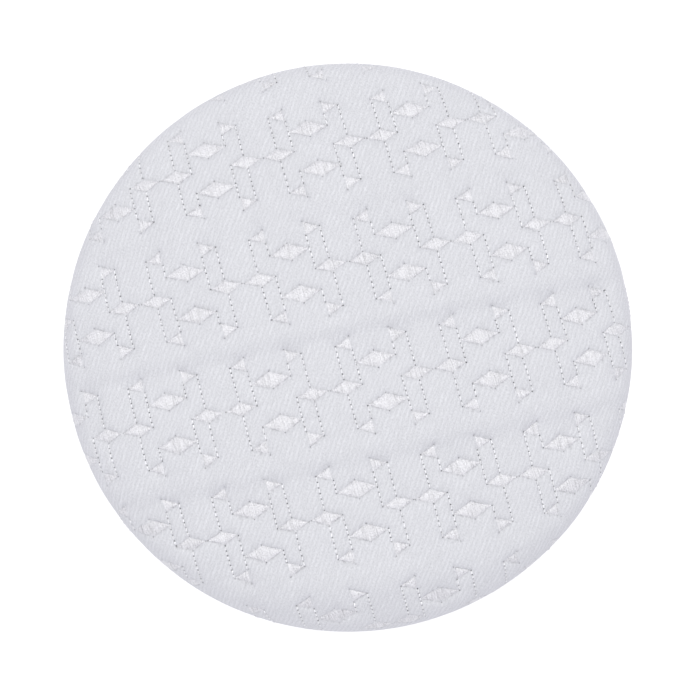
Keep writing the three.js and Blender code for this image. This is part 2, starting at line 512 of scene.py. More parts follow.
@dataclass
class Swell:
    """Height of the wadding over one repeat of two rows, held down wherever there are stitches.

    It is the height that a padded cloth settles to: pushed up evenly, pulled level by its own
    tension, held at nothing under the satin and drawn down lightly along the lines.
    """

    chart: Chart
    cell: float = 0.2
    stiffness: float = 4.8
    line_half_width: float = 0.3
    line_hold: float = 0.03
    lip_reach: float = 0.35
    passes: int = 1300

    def __post_init__(self) -> None:
        """Settles the cloth once."""
        chart = self.chart
        size = (chart.repeat, 2.0 * chart.row_pitch)
        count = [round(s / self.cell) for s in size]
        self.steps = [s / n for s, n in zip(size, count)]
        x = (np.arange(count[0]) + 0.5) * self.steps[0]
        y = (np.arange(count[1]) + 0.5) * self.steps[1] - chart.row_pitch / 2.0
        grid = np.stack(np.meshgrid(x, y, indexing="ij"), -1).reshape(-1, 2)
        held = np.zeros(len(grid), bool)
        lines = np.zeros(len(grid), bool)
        near = np.full(len(grid), 9.0)
        for row in range(-1, 3):
            sign = -1.0 if row % 2 == 1 else 1.0
            offset = -chart.repeat / 2.0 if row % 2 == 1 else 0.0
            for repeat in range(-2, 4):
                shift = np.array([repeat * chart.repeat + offset, row * chart.row_pitch])
                for corners in chart.patches():
                    outline = corners * (sign, 1.0) + shift
                    held |= within(grid, outline)
                    for start, end in zip(outline, np.roll(outline, -1, 0)):
                        if abs(end[0] - start[0]) > self.cell:
                            near = np.minimum(near, line_distance(grid, start, end))
                for ends in chart.lines():
                    start, end = ends * (sign, 1.0) + shift
                    lines |= line_distance(grid, start, end) < self.line_half_width
        free = ~held.reshape(count)
        hold = self.line_hold * lines.reshape(count)
        height = np.zeros(count)
        pull = (self.cell / self.stiffness) ** 2
        for _ in range(self.passes):
            around = sum(np.roll(height, step, axis) for axis in (0, 1) for step in (1, -1))
            height = free * (around + pull) / (4.0 + pull + hold)
        self.height = height
        self.lip = free * (1.0 - np.exp(-near.reshape(count) / self.lip_reach))

    def at(self, layout: Layout, flat: Points, field_map: Points | None = None) -> Points:
        """Swell at places on a cloth, from 0 at stitches to about 1.

        Args:
            layout: How the chart lies on the cloth.
            flat: Places on the cloth.
            field_map: Another map over the same repeat, such as the lip, to read instead.

        Returns:
            One height for each place.
        """
        height = self.height if field_map is None else field_map
        place = layout.chart_place(flat)
        shifted = (place + (0.0, self.chart.row_pitch / 2.0)) / self.steps - 0.5
        low = np.floor(shifted).astype(int)
        share = shifted - low
        total = np.zeros(len(flat))
        for dx in (0, 1):
            for dy in (0, 1):
                weight = np.where((dx, dy), share, 1.0 - share).prod(axis=1)
                total += weight * height[(low[:, 0] + dx) % height.shape[0],
                                         (low[:, 1] + dy) % height.shape[1]]
        return total


def line_distance(points: Points, start: Points, end: Points) -> Points:
    """Distance of points from a straight line between two ends.

    Args:
        points: Points to measure from.
        start: One end of the line.
        end: Its other end.

    Returns:
        One distance for each point.
    """
    along = end - start
    share = np.clip((points - start) @ along / (along @ along), 0.0, 1.0)
    return np.linalg.norm(points - start - share[:, None] * along, axis=1)


def within(points: Points, corners: Points) -> Points:
    """Which points lie inside a convex outline.

    Args:
        points: Points to look at.
        corners: Corners of the outline, in order.

    Returns:
        True for each point inside.
    """
    step = np.roll(corners, -1, 0) - corners
    turn = [s[0] * (points[:, 1] - c[1]) - s[1] * (points[:, 0] - c[0]) for c, s in zip(corners, step)]
    side = np.array(turn) > 0.0
    return side.all(0) | (~side).all(0)


def thread_spans(own: Points, places: Points) -> Points:
    """Where threads across a convex patch start and end.

    Args:
        own: Corners of the patch, as place across the threads and place along them.
        places: Places across the threads.

    Returns:
        Place across, start and end of each.
    """
    start = np.full(len(places), np.inf)
    end = np.full(len(places), -np.inf)
    for one, two in zip(own, np.roll(own, -1, 0)):
        if abs(two[0] - one[0]) < 1e-9:
            continue
        share = (places - one[0]) / (two[0] - one[0])
        met = one[1] + share * (two[1] - one[1])
        crossed = (share >= -1e-9) & (share <= 1.0 + 1e-9)
        start = np.where(crossed, np.minimum(start, met), start)
        end = np.where(crossed, np.maximum(end, met), end)
    return np.stack([places, start, end], 1)


# ---- cloth surfaces ----


def run_length(points: Points) -> Points:
    """Length run from the first point of a line, or of each of several lines, to each point."""
    step = np.linalg.norm(np.diff(points, axis=-2), axis=-1)
    return np.concatenate([np.zeros((*step.shape[:-1], 1)), np.cumsum(step, axis=-1)], -1)


class Profile:
    """A section line that is followed by its length, with its outward normal."""

    def __init__(self, points: Points, side: int) -> None:
        """Measures the line.

        Args:
            points: Radius and height of each of its points, close together.
            side: 1 where the cloth's outer face is on the line's left, -1 where it is on its right.
        """
        self.side = side
        step = np.linalg.norm(np.diff(points, axis=0), axis=1)
        keep = np.concatenate([[True], step > 1e-6])
        self.points = points[keep]
        self.lengths = run_length(self.points)
        self.slopes = np.gradient(self.points, self.lengths, axis=0)

    @property
    def length(self) -> float:
        """Length of the whole line."""
        return float(self.lengths[-1])

    def at(self, length: Points) -> tuple[Points, Points, Points, Points]:
        """Radius, height and the two parts of the normal at lengths along the line.

        Args:
            length: Lengths from the line's first point.

        Returns:
            The radius, the height, and the normal's outward and upward parts.
        """
        radius, height = (np.interp(length, self.lengths, self.points[:, i]) for i in (0, 1))
        run, rise = (np.interp(length, self.lengths, self.slopes[:, i]) for i in (0, 1))
        size = self.side * np.hypot(run, rise)
        return radius, height, -rise / size, run / size


def arc(centre: Pair, radius: float, start: float, end: float,
        step: float = 0.05) -> Points:
    """Points along an arc in a section, between two angles in degrees.

    Args:
        centre: Radius and height of its middle.
        radius: Its own radius.
        start: Angle at which it starts.
        end: Angle at which it ends.
        step: Distance between points.

    Returns:
        Radius and height of each point.
    """
    count = max(3, int(abs(math.radians(end - start)) * radius / step))
    angle = np.radians(np.linspace(start, end, count))
    return np.array(centre) + radius * pairs(np.cos(angle), np.sin(angle))


def straight(start: Pair, end: Pair, step: float = 0.05) -> Points:
    """Points along a straight stretch of a section."""
    count = max(2, int(math.dist(start, end) / step))
    return np.linspace(start, end, count)


@dataclass(frozen=True)
class CapSizes:
    """Sizes that the cap's parts share. They agree with its solids."""

    height: float
    crown_radius: float = 91.5
    dome_drop: float = 13.0
    dome_power: float = 4.0
    roll_radius: float = 8.0
    roll_undercut: float = 18.0
    tuck_radius: float = 1.3
    tuck_length: float = 2.2
    seam_gap: float = 0.12
    hem_height: float = 12.0
    hem_return: float = 24.0
    head_radius: float = 89.0
    band_bottom_radius: float = 93.3

    def dome(self, radius: Points) -> Points:
        """Height of the crown's surface inside its rolled edge."""
        return self.height - self.dome_drop * (radius / self.crown_radius) ** self.dome_power

    def dome_slope(self, radius: float) -> float:
        """Slope of the dome at a radius, in degrees down from level."""
        steep = self.dome_power * self.dome_drop / self.crown_radius
        return math.degrees(math.atan(steep * (radius / self.crown_radius) ** (self.dome_power - 1.0)))

    @property
    def roll_start(self) -> float:
        """Radius at which the dome runs smoothly into the rolled edge.

        Returns:
            The radius, found by trial.
        """
        radius = self.crown_radius
        for _ in range(30):
            slope = math.radians(self.dome_slope(radius))
            radius = self.crown_radius - self.roll_radius * (1.0 - math.sin(slope))
        return radius

    @property
    def roll_centre(self) -> Pair:
        """Centre of the rolled edge's arc, as radius and height.

        Returns:
            The radius and the height.
        """
        slope = math.radians(self.dome_slope(self.roll_start))
        return (self.crown_radius - self.roll_radius,
                float(self.dome(np.array(self.roll_start))) - self.roll_radius * math.cos(slope))

    @property
    def seam(self) -> Pair:
        """Radius and height at which the rolled edge turns into its seam.

        Returns:
            The radius and the height.
        """
        angle = math.radians(-self.roll_undercut)
        radius, height = self.roll_centre
        return radius + self.roll_radius * math.cos(angle), height + self.roll_radius * math.sin(angle)

    @property
    def seam_floor(self) -> float:
        """Height of the crown's turned-in edge."""
        return self.seam[1] + self.tuck_radius * (math.sin(math.radians(self.roll_undercut)) - 1.0)


@dataclass(frozen=True)
class Crease:
    """A soft crease along the blank strip below a row of embroidery, or a ridge if its depth is negative."""

    row: int
    depth: float
    near_width: float
    far_width: float = 15.0
    shift: float = 3.6

    def depth_at(self, across: Points, row_pitch: float) -> Points:
        """Depth at places measured across the rows."""
        beyond = across - (self.row + 0.5) * row_pitch - self.shift
        return self.depth * bell(beyond, np.where(beyond < 0.0, self.near_width, self.far_width))


@dataclass(frozen=True)
class Shoulder:
    """How the crown's padding fills out towards its edge, most at the back, and has sunk at the front."""

    rise: float = 2.1
    back_rise: float = 0.35
    radius: float = 88.0
    back_shift: float = 1.5
    widths: Pair = (12.0, 5.0)
    sag_depth: float = 2.4
    sag_direction: float = math.radians(-95.0)
    sag_span: Pair = (72.0, 90.0)
    fade: Pair = (93.0, 99.0)

    def height_at(self, flat: Points) -> Points:
        """Height above the plain dome, at places on the flat crown.

        Args:
            flat: Places on the flat cloth.

        Returns:
            One height for each place.
        """
        distance = np.linalg.norm(flat, axis=1)
        direction = np.arctan2(flat[:, 1], flat[:, 0])
        back = np.sin(direction)
        beyond = distance - self.radius - self.back_shift * back
        width = np.where(beyond < 0.0, *self.widths)
        fuller = self.rise * (1.0 + self.back_rise * back) * bell(beyond, width)
        towards = np.maximum(np.cos(direction - self.sag_direction), 0.0)
        sunk = self.sag_depth * towards ** 4 * smoothstep(distance, *self.sag_span)
        return (fuller - sunk) * (1.0 - smoothstep(distance, *self.fade))


@dataclass
class Quilting:
    """How a padded cloth is shaped: its swell, the lip at stitches, creases and unevenness."""

    swell: Swell
    rise: float = 2.4
    lip: float = 0.30
    sunk: float = 0.5
    ripple: Ripple = field(default_factory=lambda: Ripple(seed=5, shortest=14.0, longest=60.0))
    ripple_rise: float = 0.22
    grid: float = 1.25
    outline_step: float = 0.6
    outline_offset: float = 0.4
    # The patch outline is sunk, and a painted shade line is drawn along it.
    outline_sink: float = 0.14
    outline_shade: float = 0.24
    tip_fade: float = 1.3
    tip_least: float = 0.3
    along_thread: float = 0.25
    # Random spread of each outline point's sink and painted shade.
    outline_sink_and_shade_spread: Pair = (0.3, 1.6)
    # Random spread of the painted shade in each needle hole, and its share at the patches' corners.
    hole_shade_spread: Pair = (0.5, 1.1)
    corner_shade_share: float = 0.6
    hole_spacing: float = 0.9
    spacing: float = 0.3
    hole_clearance: float = 0.7
    lip_clearance: float = 0.34
    grid_clearance: float = 0.55
    edge_clearance: float = 0.6
    # Rings round each needle hole: radius, sink, painted shade and number of points.
    pit_rings: tuple[tuple[float, float, float, int], ...] = (
        (0.0, 0.6, 1.0, 1), (0.16, 0.26, 0.85, 6), (0.30, 0.0, 0.0, 8))
    lining_grid: float = 2.2
    lining_thin: float = 1.9
    lining_swell: float = 0.6


@dataclass
class Cloth:
    """A quilted cloth on the cap. Subclasses say how the flat cloth is bent."""

    sizes: CapSizes
    layout: Layout
    quilting: Quilting
    creases: Sequence[Crease]
    name: str = "cloth"

    def __post_init__(self) -> None:
        """Lays out the embroidery on the cloth."""
        self.patches, self.lines = self.layout.stitched(self.holds)

    def holds(self, flat: Points) -> Points:
        """Which flat places take embroidery."""
        raise NotImplementedError

    def bend(self, flat: Points) -> tuple[Points, Points]:
        """Places and outward normals of the bent cloth, before its padding."""
        raise NotImplementedError

    def ease(self, flat: Points) -> Points:
        """Share of the padding's relief that is left, which falls to nothing at the seams."""
        raise NotImplementedError

    def fullness(self, flat: Points) -> Points:
        """Share of a thread's height left where it is drawn flat; painted shade darkens the thread as it
        falls.
        """
        return np.ones(len(flat))

    def outline(self) -> tuple[Points, Points]:
        """Edge of the outer face, and of the lining, with as many points each, in order."""
        raise NotImplementedError

    def level(self, flat: Points) -> Points:
        """Height of the stitched-down cloth: its creases and its unevenness.

        Args:
            flat: Places on the flat cloth.

        Returns:
            One height for each place.
        """
        across = self.layout.chart_place(flat)[:, 1]
        height = self.quilting.ripple_rise * self.quilting.ripple.at(flat) - self.quilting.sunk
        for crease in self.creases:
            height -= crease.depth_at(across, self.layout.chart.row_pitch)
        return height * self.ease(flat)

    def relief(self, flat: Points) -> Points:
        """Height of the outer face between its stitches.

        Args:
            flat: Places on the flat cloth.

        Returns:
            One height for each place.
        """
        quilting = self.quilting
        swell = quilting.swell
        padding = quilting.rise * swell.at(self.layout, flat)
        padding = padding + quilting.lip * swell.at(self.layout, flat, swell.lip)
        return self.level(flat) + padding * self.ease(flat)

    def place(self, flat: Points, lift: Points) -> Points:
        """Places above the bent cloth.

        Args:
            flat: Places on the flat cloth.
            lift: Height above the bent cloth.

        Returns:
            Places in the cap's own space.
        """
        base, normal = self.bend(flat)
        return base + normal * lift[:, None]

    def needle_points(self) -> tuple[Points, Points]:
        """Every place where a running stitch goes through the cloth, and the corners of the patches.

        Returns:
            The places, and how strong each hole's painted shade is.
        """
        rng = self.layout.rng(Draw.HOLES)
        made = [line.holes for line in self.lines]
        sewn = sum(len(holes) for holes in made)
        every = np.concatenate(made + [patch.corners for patch in self.patches])
        # Random strength of each hole's painted shade, weaker at the patches' corners.
        darkening = rng.uniform(*self.quilting.hole_shade_spread, len(every))
        darkening[sewn:] *= self.quilting.corner_shade_share
        keep = thinned(every, self.quilting.hole_spacing)
        return every[keep], darkening[keep]

    def _fine_points(self) -> tuple[Points, Points, Points]:
        """Points round the stitches, how far each is sunk, and how much painted shade darkens it.

        Returns:
            The three, with one row or number for each point.
        """
        quilting = self.quilting
        places, sinks, pits = [], [], []
        rng = self.layout.rng(Draw.OUTLINES)
        holes, darkening = self.needle_points()
        for radius, sink, dark, count in quilting.pit_rings:
            found = (holes[:, None] + radius * circle(count)).reshape(-1, 2)
            places.append(found)
            sinks.append(np.full(len(found), sink))
            # Painted shade in and round each needle hole.
            pits.append(dark * np.repeat(darkening, count))
        edge, beside = self._outlines()
        edge = edge[thinned(edge[:, :2], quilting.spacing)]
        edge[:, 2] *= rng.uniform(*quilting.outline_sink_and_shade_spread, len(edge))
        edge = edge[clear_of(edge[:, :2], places[0], quilting.hole_clearance)]
        lips = beside[thinned(beside, quilting.spacing)]
        lips = lips[clear_of(lips, np.concatenate([places[0], edge[:, :2]]), quilting.lip_clearance)]
        places += [edge[:, :2], lips]
        sinks += [edge[:, 2] * quilting.outline_sink, np.zeros(len(lips))]
        # Painted shade line along each patch outline, none on the lips beside it.
        pits += [edge[:, 2] * quilting.outline_shade, np.zeros(len(lips))]
        return np.concatenate(places), np.concatenate(sinks), np.concatenate(pits)

    def _outlines(self) -> tuple[Points, Points]:
        """Points where satin threads go through the cloth, and points just outside them.

        Returns:
            Place and strength of the first, which fades at a patch's tips, and places of the second.
        """
        quilting = self.quilting
        stem = self.layout.stem
        side = np.array([-stem[1], stem[0]])
        edge: list[Points] = []
        beside: list[Points] = []
        for patch in self.patches:
            corners = patch.corners
            centre = corners.mean(0)
            own = pairs(corners @ side, corners @ stem)
            for start, end in zip(corners, np.roll(corners, -1, 0)):
                if abs((end - start) @ side) < quilting.along_thread * math.dist(start, end):
                    continue
                count = max(2, round(math.dist(start, end) / quilting.outline_step))
                points = np.linspace(start, end, count, endpoint=False)
                normal = np.array([end[1] - start[1], start[0] - end[0]])
                normal /= np.linalg.norm(normal)
                if normal @ (start - centre) < 0.0:
                    normal = -normal
                spans = thread_spans(own, points @ side)
                # Strength of the outline's sink and painted shade, fading at a patch's tips.
                strength = np.clip((spans[:, 2] - spans[:, 1]) / quilting.tip_fade, quilting.tip_least, 1.0)
                edge.append(np.concatenate([points, strength[:, None]], 1))
                beside.append(points + (end - start) / count / 2.0 + normal * quilting.outline_offset)
        return np.concatenate(edge), np.concatenate(beside)

    def build(self, materials: Sequence[Material]) -> Piece:
        """Makes the padded cloth as one closed mesh: outer face, turned-in edges and lining.

        Args:
            materials: The outer face's and the lining's.

        Returns:
            The piece.
        """
        quilting = self.quilting
        outer_ring, lining_ring = self.outline()
        fine, sinks, pits = self._fine_points()
        keep = self.holds(fine)
        fine, sinks, pits = fine[keep], sinks[keep], pits[keep]
        grid = self._grid(outer_ring, quilting.grid)
        grid = grid[clear_of(grid, fine, quilting.grid_clearance)]
        flat, faces = triangulated(outer_ring, np.concatenate([fine, grid]))
        first = len(outer_ring)
        height = self.relief(flat)
        height[first:first + len(fine)] -= sinks
        # Painted shade in the needle holes and along the patches' outlines.
        dark = np.zeros(len(flat))
        dark[first:first + len(fine)] = pits
        book = MeshBook()
        book.add(self.place(flat, height), flat, faces, 0, dark)
        flat, faces = triangulated(lining_ring, self._grid(lining_ring, quilting.lining_grid))
        depth = quilting.lining_thin + quilting.lining_swell * quilting.swell.at(self.layout, flat)
        second = book.add(self.place(flat, self.level(flat) - depth), flat, [f[::-1] for f in faces], 1)
        count = len(outer_ring)
        after = [(i + 1) % count for i in range(count)]
        book.join([(i, second + i, second + j, j) for i, j in enumerate(after)], 1)
        return book.build(self.name, materials)

    def _grid(self, ring: Points, pitch: float) -> Points:
        """Evenly spaced points inside a convex edge.

        Args:
            ring: The edge's points, in order.
            pitch: Distance between neighbours.

        Returns:
            The points.
        """
        points = hex_grid(ring.min(0), ring.max(0), pitch)
        edge = np.roll(ring, -1, 0) - ring
        inward = pairs(-edge[:, 1], edge[:, 0]) / np.linalg.norm(edge, axis=1)[:, None]
        away = np.full(len(points), np.inf)
        for corner, normal in zip(ring, inward):
            away = np.minimum(away, (points - corner) @ normal)
        return points[away > pitch * self.quilting.edge_clearance]


@dataclass
class CrownCloth(Cloth):
    """The round top. The flat cloth is a disc, and distances from its middle run down the section."""

    name: str = "crown_cloth"
    shoulder: Shoulder = Shoulder()
    dome_steps: int = 2000
    edge_points: int = 440
    margin: float = 0.5
    roll_span: Pair = (83.0, 93.0)
    roll_flattening: float = 0.87
    seam_fade: float = 7.0
    thread_span: Pair = (77.0, 89.0)
    thread_flattening: float = 0.8

    def __post_init__(self) -> None:
        """Works out the crown's section from the cap's sizes."""
        sizes = self.sizes
        start = sizes.roll_start
        radius = np.linspace(0.0, start, self.dome_steps)
        dome = pairs(radius, sizes.dome(radius))
        seam = sizes.seam
        undercut = math.radians(sizes.roll_undercut)
        tuck = (seam[0] - sizes.tuck_radius * math.cos(undercut),
                seam[1] + sizes.tuck_radius * math.sin(undercut))
        floor = tuck[1] - sizes.tuck_radius
        roll = arc(sizes.roll_centre, sizes.roll_radius, 90.0 - sizes.dome_slope(start), -sizes.roll_undercut)
        turn = arc(tuck, sizes.tuck_radius, -sizes.roll_undercut, -90.0)
        inward = straight((tuck[0], floor), (tuck[0] - sizes.tuck_length, floor))
        self.profile = Profile(np.concatenate([dome, roll, turn, inward]), side=1)
        self.seam_length = self.profile.length - sizes.tuck_length - math.radians(90.0) * sizes.tuck_radius
        super().__post_init__()

    def holds(self, flat: Points) -> Points:
        """Embroidery runs right out to the seam."""
        return np.linalg.norm(flat, axis=1) < self.seam_length - self.margin

    def bend(self, flat: Points) -> tuple[Points, Points]:
        """Turns the section round the middle and raises it where the padding is fuller.

        Args:
            flat: Places on the flat cloth.

        Returns:
            Places and outward normals.
        """
        length = np.linalg.norm(flat, axis=1)
        around = flat / np.maximum(length, 1e-9)[:, None]
        radius, height, out, up = self.profile.at(length)
        height = height + self.shoulder.height_at(flat)
        place = np.concatenate([around * radius[:, None], height[:, None]], 1)
        return place, np.concatenate([around * out[:, None], up[:, None]], 1)

    def ease(self, flat: Points) -> Points:
        """The padding is stretched thin where the crown rolls over, and ends at the seam.

        Args:
            flat: Places on the flat cloth.

        Returns:
            One share for each place.
        """
        length = np.linalg.norm(flat, axis=1)
        left = 1.0 - self.roll_flattening * smoothstep(length, *self.roll_span)
        return left * (1.0 - smoothstep(length, self.seam_length - self.seam_fade, self.seam_length))

    def fullness(self, flat: Points) -> Points:
        """Threads are drawn flat, and darkened with painted shade, where the crown rolls over."""
        return 1.0 - self.thread_flattening * smoothstep(np.linalg.norm(flat, axis=1), *self.thread_span)

    def outline(self) -> tuple[Points, Points]:
        """Two circles: where the outer face ends, turned in, and where the lining ends.

        Returns:
            The two edges.
        """
        edge = circle(self.edge_points)
        return edge * self.profile.length, edge * (self.seam_length - self.margin)


@dataclass
class BandCloth(Cloth):
    """The side band. The flat cloth is a strip: along it is round the cap, across it is up the wall."""

    name: str = "band_cloth"
    fold: float = 1.2
    end_tuck: float = 1.8
    back_clearance: float = 0.06
    wall_steps: int = 1500
    edge_points: tuple[int, int] = (410, 52)
    lining_end: float = 2.2
    margin: float = 0.5
    seam_pull: Pair = (1.1, 5.0)
    hem_pull: Pair = (0.9, 4.0)
    back_pull: Pair = (0.9, 3.0)
    seam_fade: float = 5.0
    hem_fade: float = 4.0
    back_fade: float = 6.0

    def __post_init__(self) -> None:
        """Works out the wall's section from the cap's sizes."""
        sizes = self.sizes
        self.top = sizes.seam_floor - sizes.seam_gap
        self.bottom = sizes.hem_height + sizes.seam_gap
        tuck, tail = sizes.tuck_radius, sizes.tuck_length
        wall = np.linspace(self.bottom + tuck, self.top - tuck, self.wall_steps)
        side = pairs(self.radius_at(wall), wall)
        low = (side[0][0] - tuck, self.bottom + tuck)
        high = (side[-1][0] - tuck, self.top - tuck)
        self.profile = Profile(np.concatenate([
            straight((low[0] - tail, self.bottom), (low[0], self.bottom)), arc(low, tuck, -90.0, 0.0),
            side, arc(high, tuck, 0.0, 90.0), straight((high[0], self.top), (high[0] - tail, self.top)),
        ]), side=-1)
        self.hem_length = tail + math.radians(90.0) * tuck
        self.seam_length = self.profile.length - self.hem_length
        self.mean_radius = sizes.crown_radius
        self.half = math.pi * self.mean_radius - self.back_clearance
        super().__post_init__()

    def radius_at(self, height: Points) -> Points:
        """Outside radius of the wall: a slight taper, drawn in at the crown seam and the hem.

        Args:
            height: Heights above the floor.

        Returns:
            One radius for each height.
        """
        sizes = self.sizes
        share = (height - sizes.hem_height) / (self.top - sizes.hem_height)
        pull, reach = self.seam_pull
        radius = sizes.band_bottom_radius + share * (sizes.seam[0] + pull - sizes.band_bottom_radius)
        radius = radius - pull * bell(self.top - height, reach)
        return radius - self.hem_pull[0] * bell(height - sizes.hem_height, self.hem_pull[1])

    def holds(self, flat: Points) -> Points:
        """Embroidery runs from the hem to the crown seam and right up to the back seam."""
        up = (flat[:, 1] > self.hem_length) & (flat[:, 1] < self.seam_length)
        return up & (np.abs(flat[:, 0]) < self.half - self.fold)

    def bend(self, flat: Points) -> tuple[Points, Points]:
        """Wraps the strip round the cap and folds its ends in at the back.

        Args:
            flat: Places on the flat cloth.

        Returns:
            Places and outward normals.
        """
        side = np.sign(flat[:, 0])
        over = np.abs(flat[:, 0]) - (self.half - self.fold)
        turn = np.clip(over / self.fold, 0.0, math.pi / 2.0)
        along = np.where(over > 0.0, self.half - self.fold + self.fold * np.sin(turn), np.abs(flat[:, 0]))
        inward = self.fold * (1.0 - np.cos(turn)) + np.maximum(0.0, over - self.fold * math.pi / 2.0)
        inward += self.back_pull[0] * bell(np.minimum(over, 0.0), self.back_pull[1])
        angle = side * along / self.mean_radius
        radius, height, out, up = self.profile.at(flat[:, 1])
        around = pairs(np.sin(angle), -np.cos(angle))
        normal = np.concatenate([around * out[:, None], up[:, None]], 1)
        place = np.concatenate([around * radius[:, None], height[:, None]], 1)
        return place - normal * inward[:, None], normal

    def ease(self, flat: Points) -> Points:
        """The padding thins out at the hem, the crown seam and the back seam.

        Args:
            flat: Places on the flat cloth.

        Returns:
            One share for each place.
        """
        top = 1.0 - smoothstep(flat[:, 1], self.seam_length - self.seam_fade, self.seam_length)
        bottom = smoothstep(flat[:, 1], self.hem_length, self.hem_length + self.hem_fade)
        ends = 1.0 - smoothstep(np.abs(flat[:, 0]), self.half - self.back_fade, self.half - self.fold)
        return top * bottom * ends

    def outline(self) -> tuple[Points, Points]:
        """Two strips: where the outer face ends, turned in all round, and where the lining ends.

        Returns:
            The two edges.
        """
        reach = self.half - self.fold + self.fold * math.pi / 2.0 + self.end_tuck
        end = self.half - self.lining_end
        outer = strip((-reach, 0.0), (reach, self.profile.length), *self.edge_points)
        inner = strip((-end, self.hem_length + self.margin), (end, self.seam_length - self.margin),
                      *self.edge_points)
        return outer, inner


def strip(low: Pair, high: Pair, long_count: int, short_count: int) -> Points:
    """Points round a rectangle, anticlockwise from its low corner.

    Args:
        low: The low corner.
        high: The high corner.
        long_count: Points along each long side.
        short_count: Points along each short side.

    Returns:
        The points, in order.
    """
    x = np.linspace(low[0], high[0], long_count, endpoint=False)
    y = np.linspace(low[1], high[1], short_count, endpoint=False)
    back_x, back_y = low[0] + high[0] - x, low[1] + high[1] - y
    sides = (x, low[1]), (high[0], y), (back_x, high[1]), (low[0], back_y)
    return np.concatenate([pairs(*side) for side in sides])


# ---- threads ----


def bow(share: Points) -> Points:
    """How high a thread stands along its length: 1 over most of it, falling to 0 at its ends."""
    return 1.0 - (2.0 * share - 1.0) ** 4


@dataclass
class SatinStitches:
    """Satin stitch: threads laid side by side along the stems' direction, over each patch."""

    cloth: Cloth
    name: str
    pitch: float = 0.38
    arch: float = 0.30
    ridge: float = 0.11
    dive: float = 0.34
    overshoot: float = 0.03
    short_arch: float = 0.75
    full_span: float = 8.0
    unevenness: float = 0.14
    height_spread: float = 0.3
    pitch_spread: float = 0.10
    shortest: float = 0.15
    # Darkening: painted shade in the dents between threads, random tone along each thread, and painted shade
    # where the crown rolls over.
    gap_shade: float = 0.45
    thread_shade: float = 0.38
    rolled_shade: float = 0.18
    along: tuple[float, ...] = (0.0, 0.1, 0.32, 0.68, 0.9, 1.0)

    def build(self, material: Material) -> Piece:
        """Makes every patch's sheet of threads, each closed underneath.

        Args:
            material: The thread's.

        Returns:
            The piece.
        """
        rng = self.cloth.layout.rng(Draw.SATIN)
        book = MeshBook()
        for patch in self.cloth.patches:
            self._sheet(book, patch, rng)
        return book.build(self.name, [material])

    def _sheet(self, book: MeshBook, patch: Patch, rng: np.random.Generator) -> None:
        """Adds one patch. Its columns alternate between the valleys and the ridges of its threads.

        Args:
            book: Where the mesh goes.
            patch: The patch to cover.
            rng: Draws the threads' unevenness.
        """
        stem = self.cloth.layout.stem
        side = np.array([-stem[1], stem[0]])
        own = pairs(patch.corners @ side, patch.corners @ stem)
        first, final = own[:, 0].min(), own[:, 0].max()
        threads = max(3, round((final - first) / self.pitch))
        spans = thread_spans(own, np.linspace(first, final, 2 * threads + 1))
        spans = spans[spans[:, 2] - spans[:, 1] > self.shortest]
        if len(spans) % 2 == 0:
            spans = spans[:-1]
        if len(spans) < 5:
            return
        count, steps = len(spans), len(self.along)
        ridge = np.arange(count) % 2 == 1
        slip = rng.normal(0.0, self.unevenness, (count, 2)) * ridge[:, None]
        starts = spans[:, 1] - (self.overshoot + slip[:, 0])
        ends = spans[:, 2] + (self.overshoot + slip[:, 1])
        share = np.array(self.along)
        down = starts[:, None] + (ends - starts)[:, None] * share
        across = spans[:, 0][:, None] + np.zeros(steps)
        across[1:-1] += rng.normal(0.0, self.pitch * self.pitch_spread, (count - 2, 1)) * ridge[1:-1, None]
        flat = (across[..., None] * side + down[..., None] * stem).reshape(-1, 2)
        full = np.minimum(1.0, self.short_arch + (ends - starts) / self.full_span)[:, None]
        high = bow(share)
        lift = high * self.arch * full + ridge[:, None] * self.ridge
        lift += rng.normal(0.0, self.ridge * self.height_spread, (count, 1)) * high
        full = self.cloth.fullness(flat).reshape(count, steps)
        lift = lift * full + (high - 1.0) * self.dive
        height = self.cloth.relief(flat) + lift.reshape(-1)
        last = steps - 1
        at = np.arange(count)[:, None] * steps + np.arange(steps)
        faces: list[Sequence[int]] = []
        for i in range(count - 1):
            for j in range(last):
                faces.append((at[i, j], at[i, j + 1], at[i + 1, j + 1], at[i + 1, j]))
        for i in range(0, count - 1, 2):
            top = (at[i, 0], at[i + 1, 0], at[i + 2, 0])
            faces.append((*top, at[i + 2, last], at[i + 1, last], at[i, last]))
        faces.append(tuple(at[0, ::-1]))
        faces.append(tuple(at[-1]))
        # Random tone along each thread, painted shade in the dents between threads, and painted shade where
        # the crown rolls over.
        dark = rng.random((count, steps)) ** 2 * self.thread_shade
        dark += rng.random((count, 1)) ** 3 * self.gap_shade * ~ridge[:, None] * (high > 0.0)
        dark += self.rolled_shade * (1.0 - full)
        start = book.add(self.cloth.place(flat, height), flat, faces, 0, dark.reshape(-1))
        book.crease((start + at[i, j], start + at[i, j + 1])
                    for i in range(0, count, 2) for j in range(last))


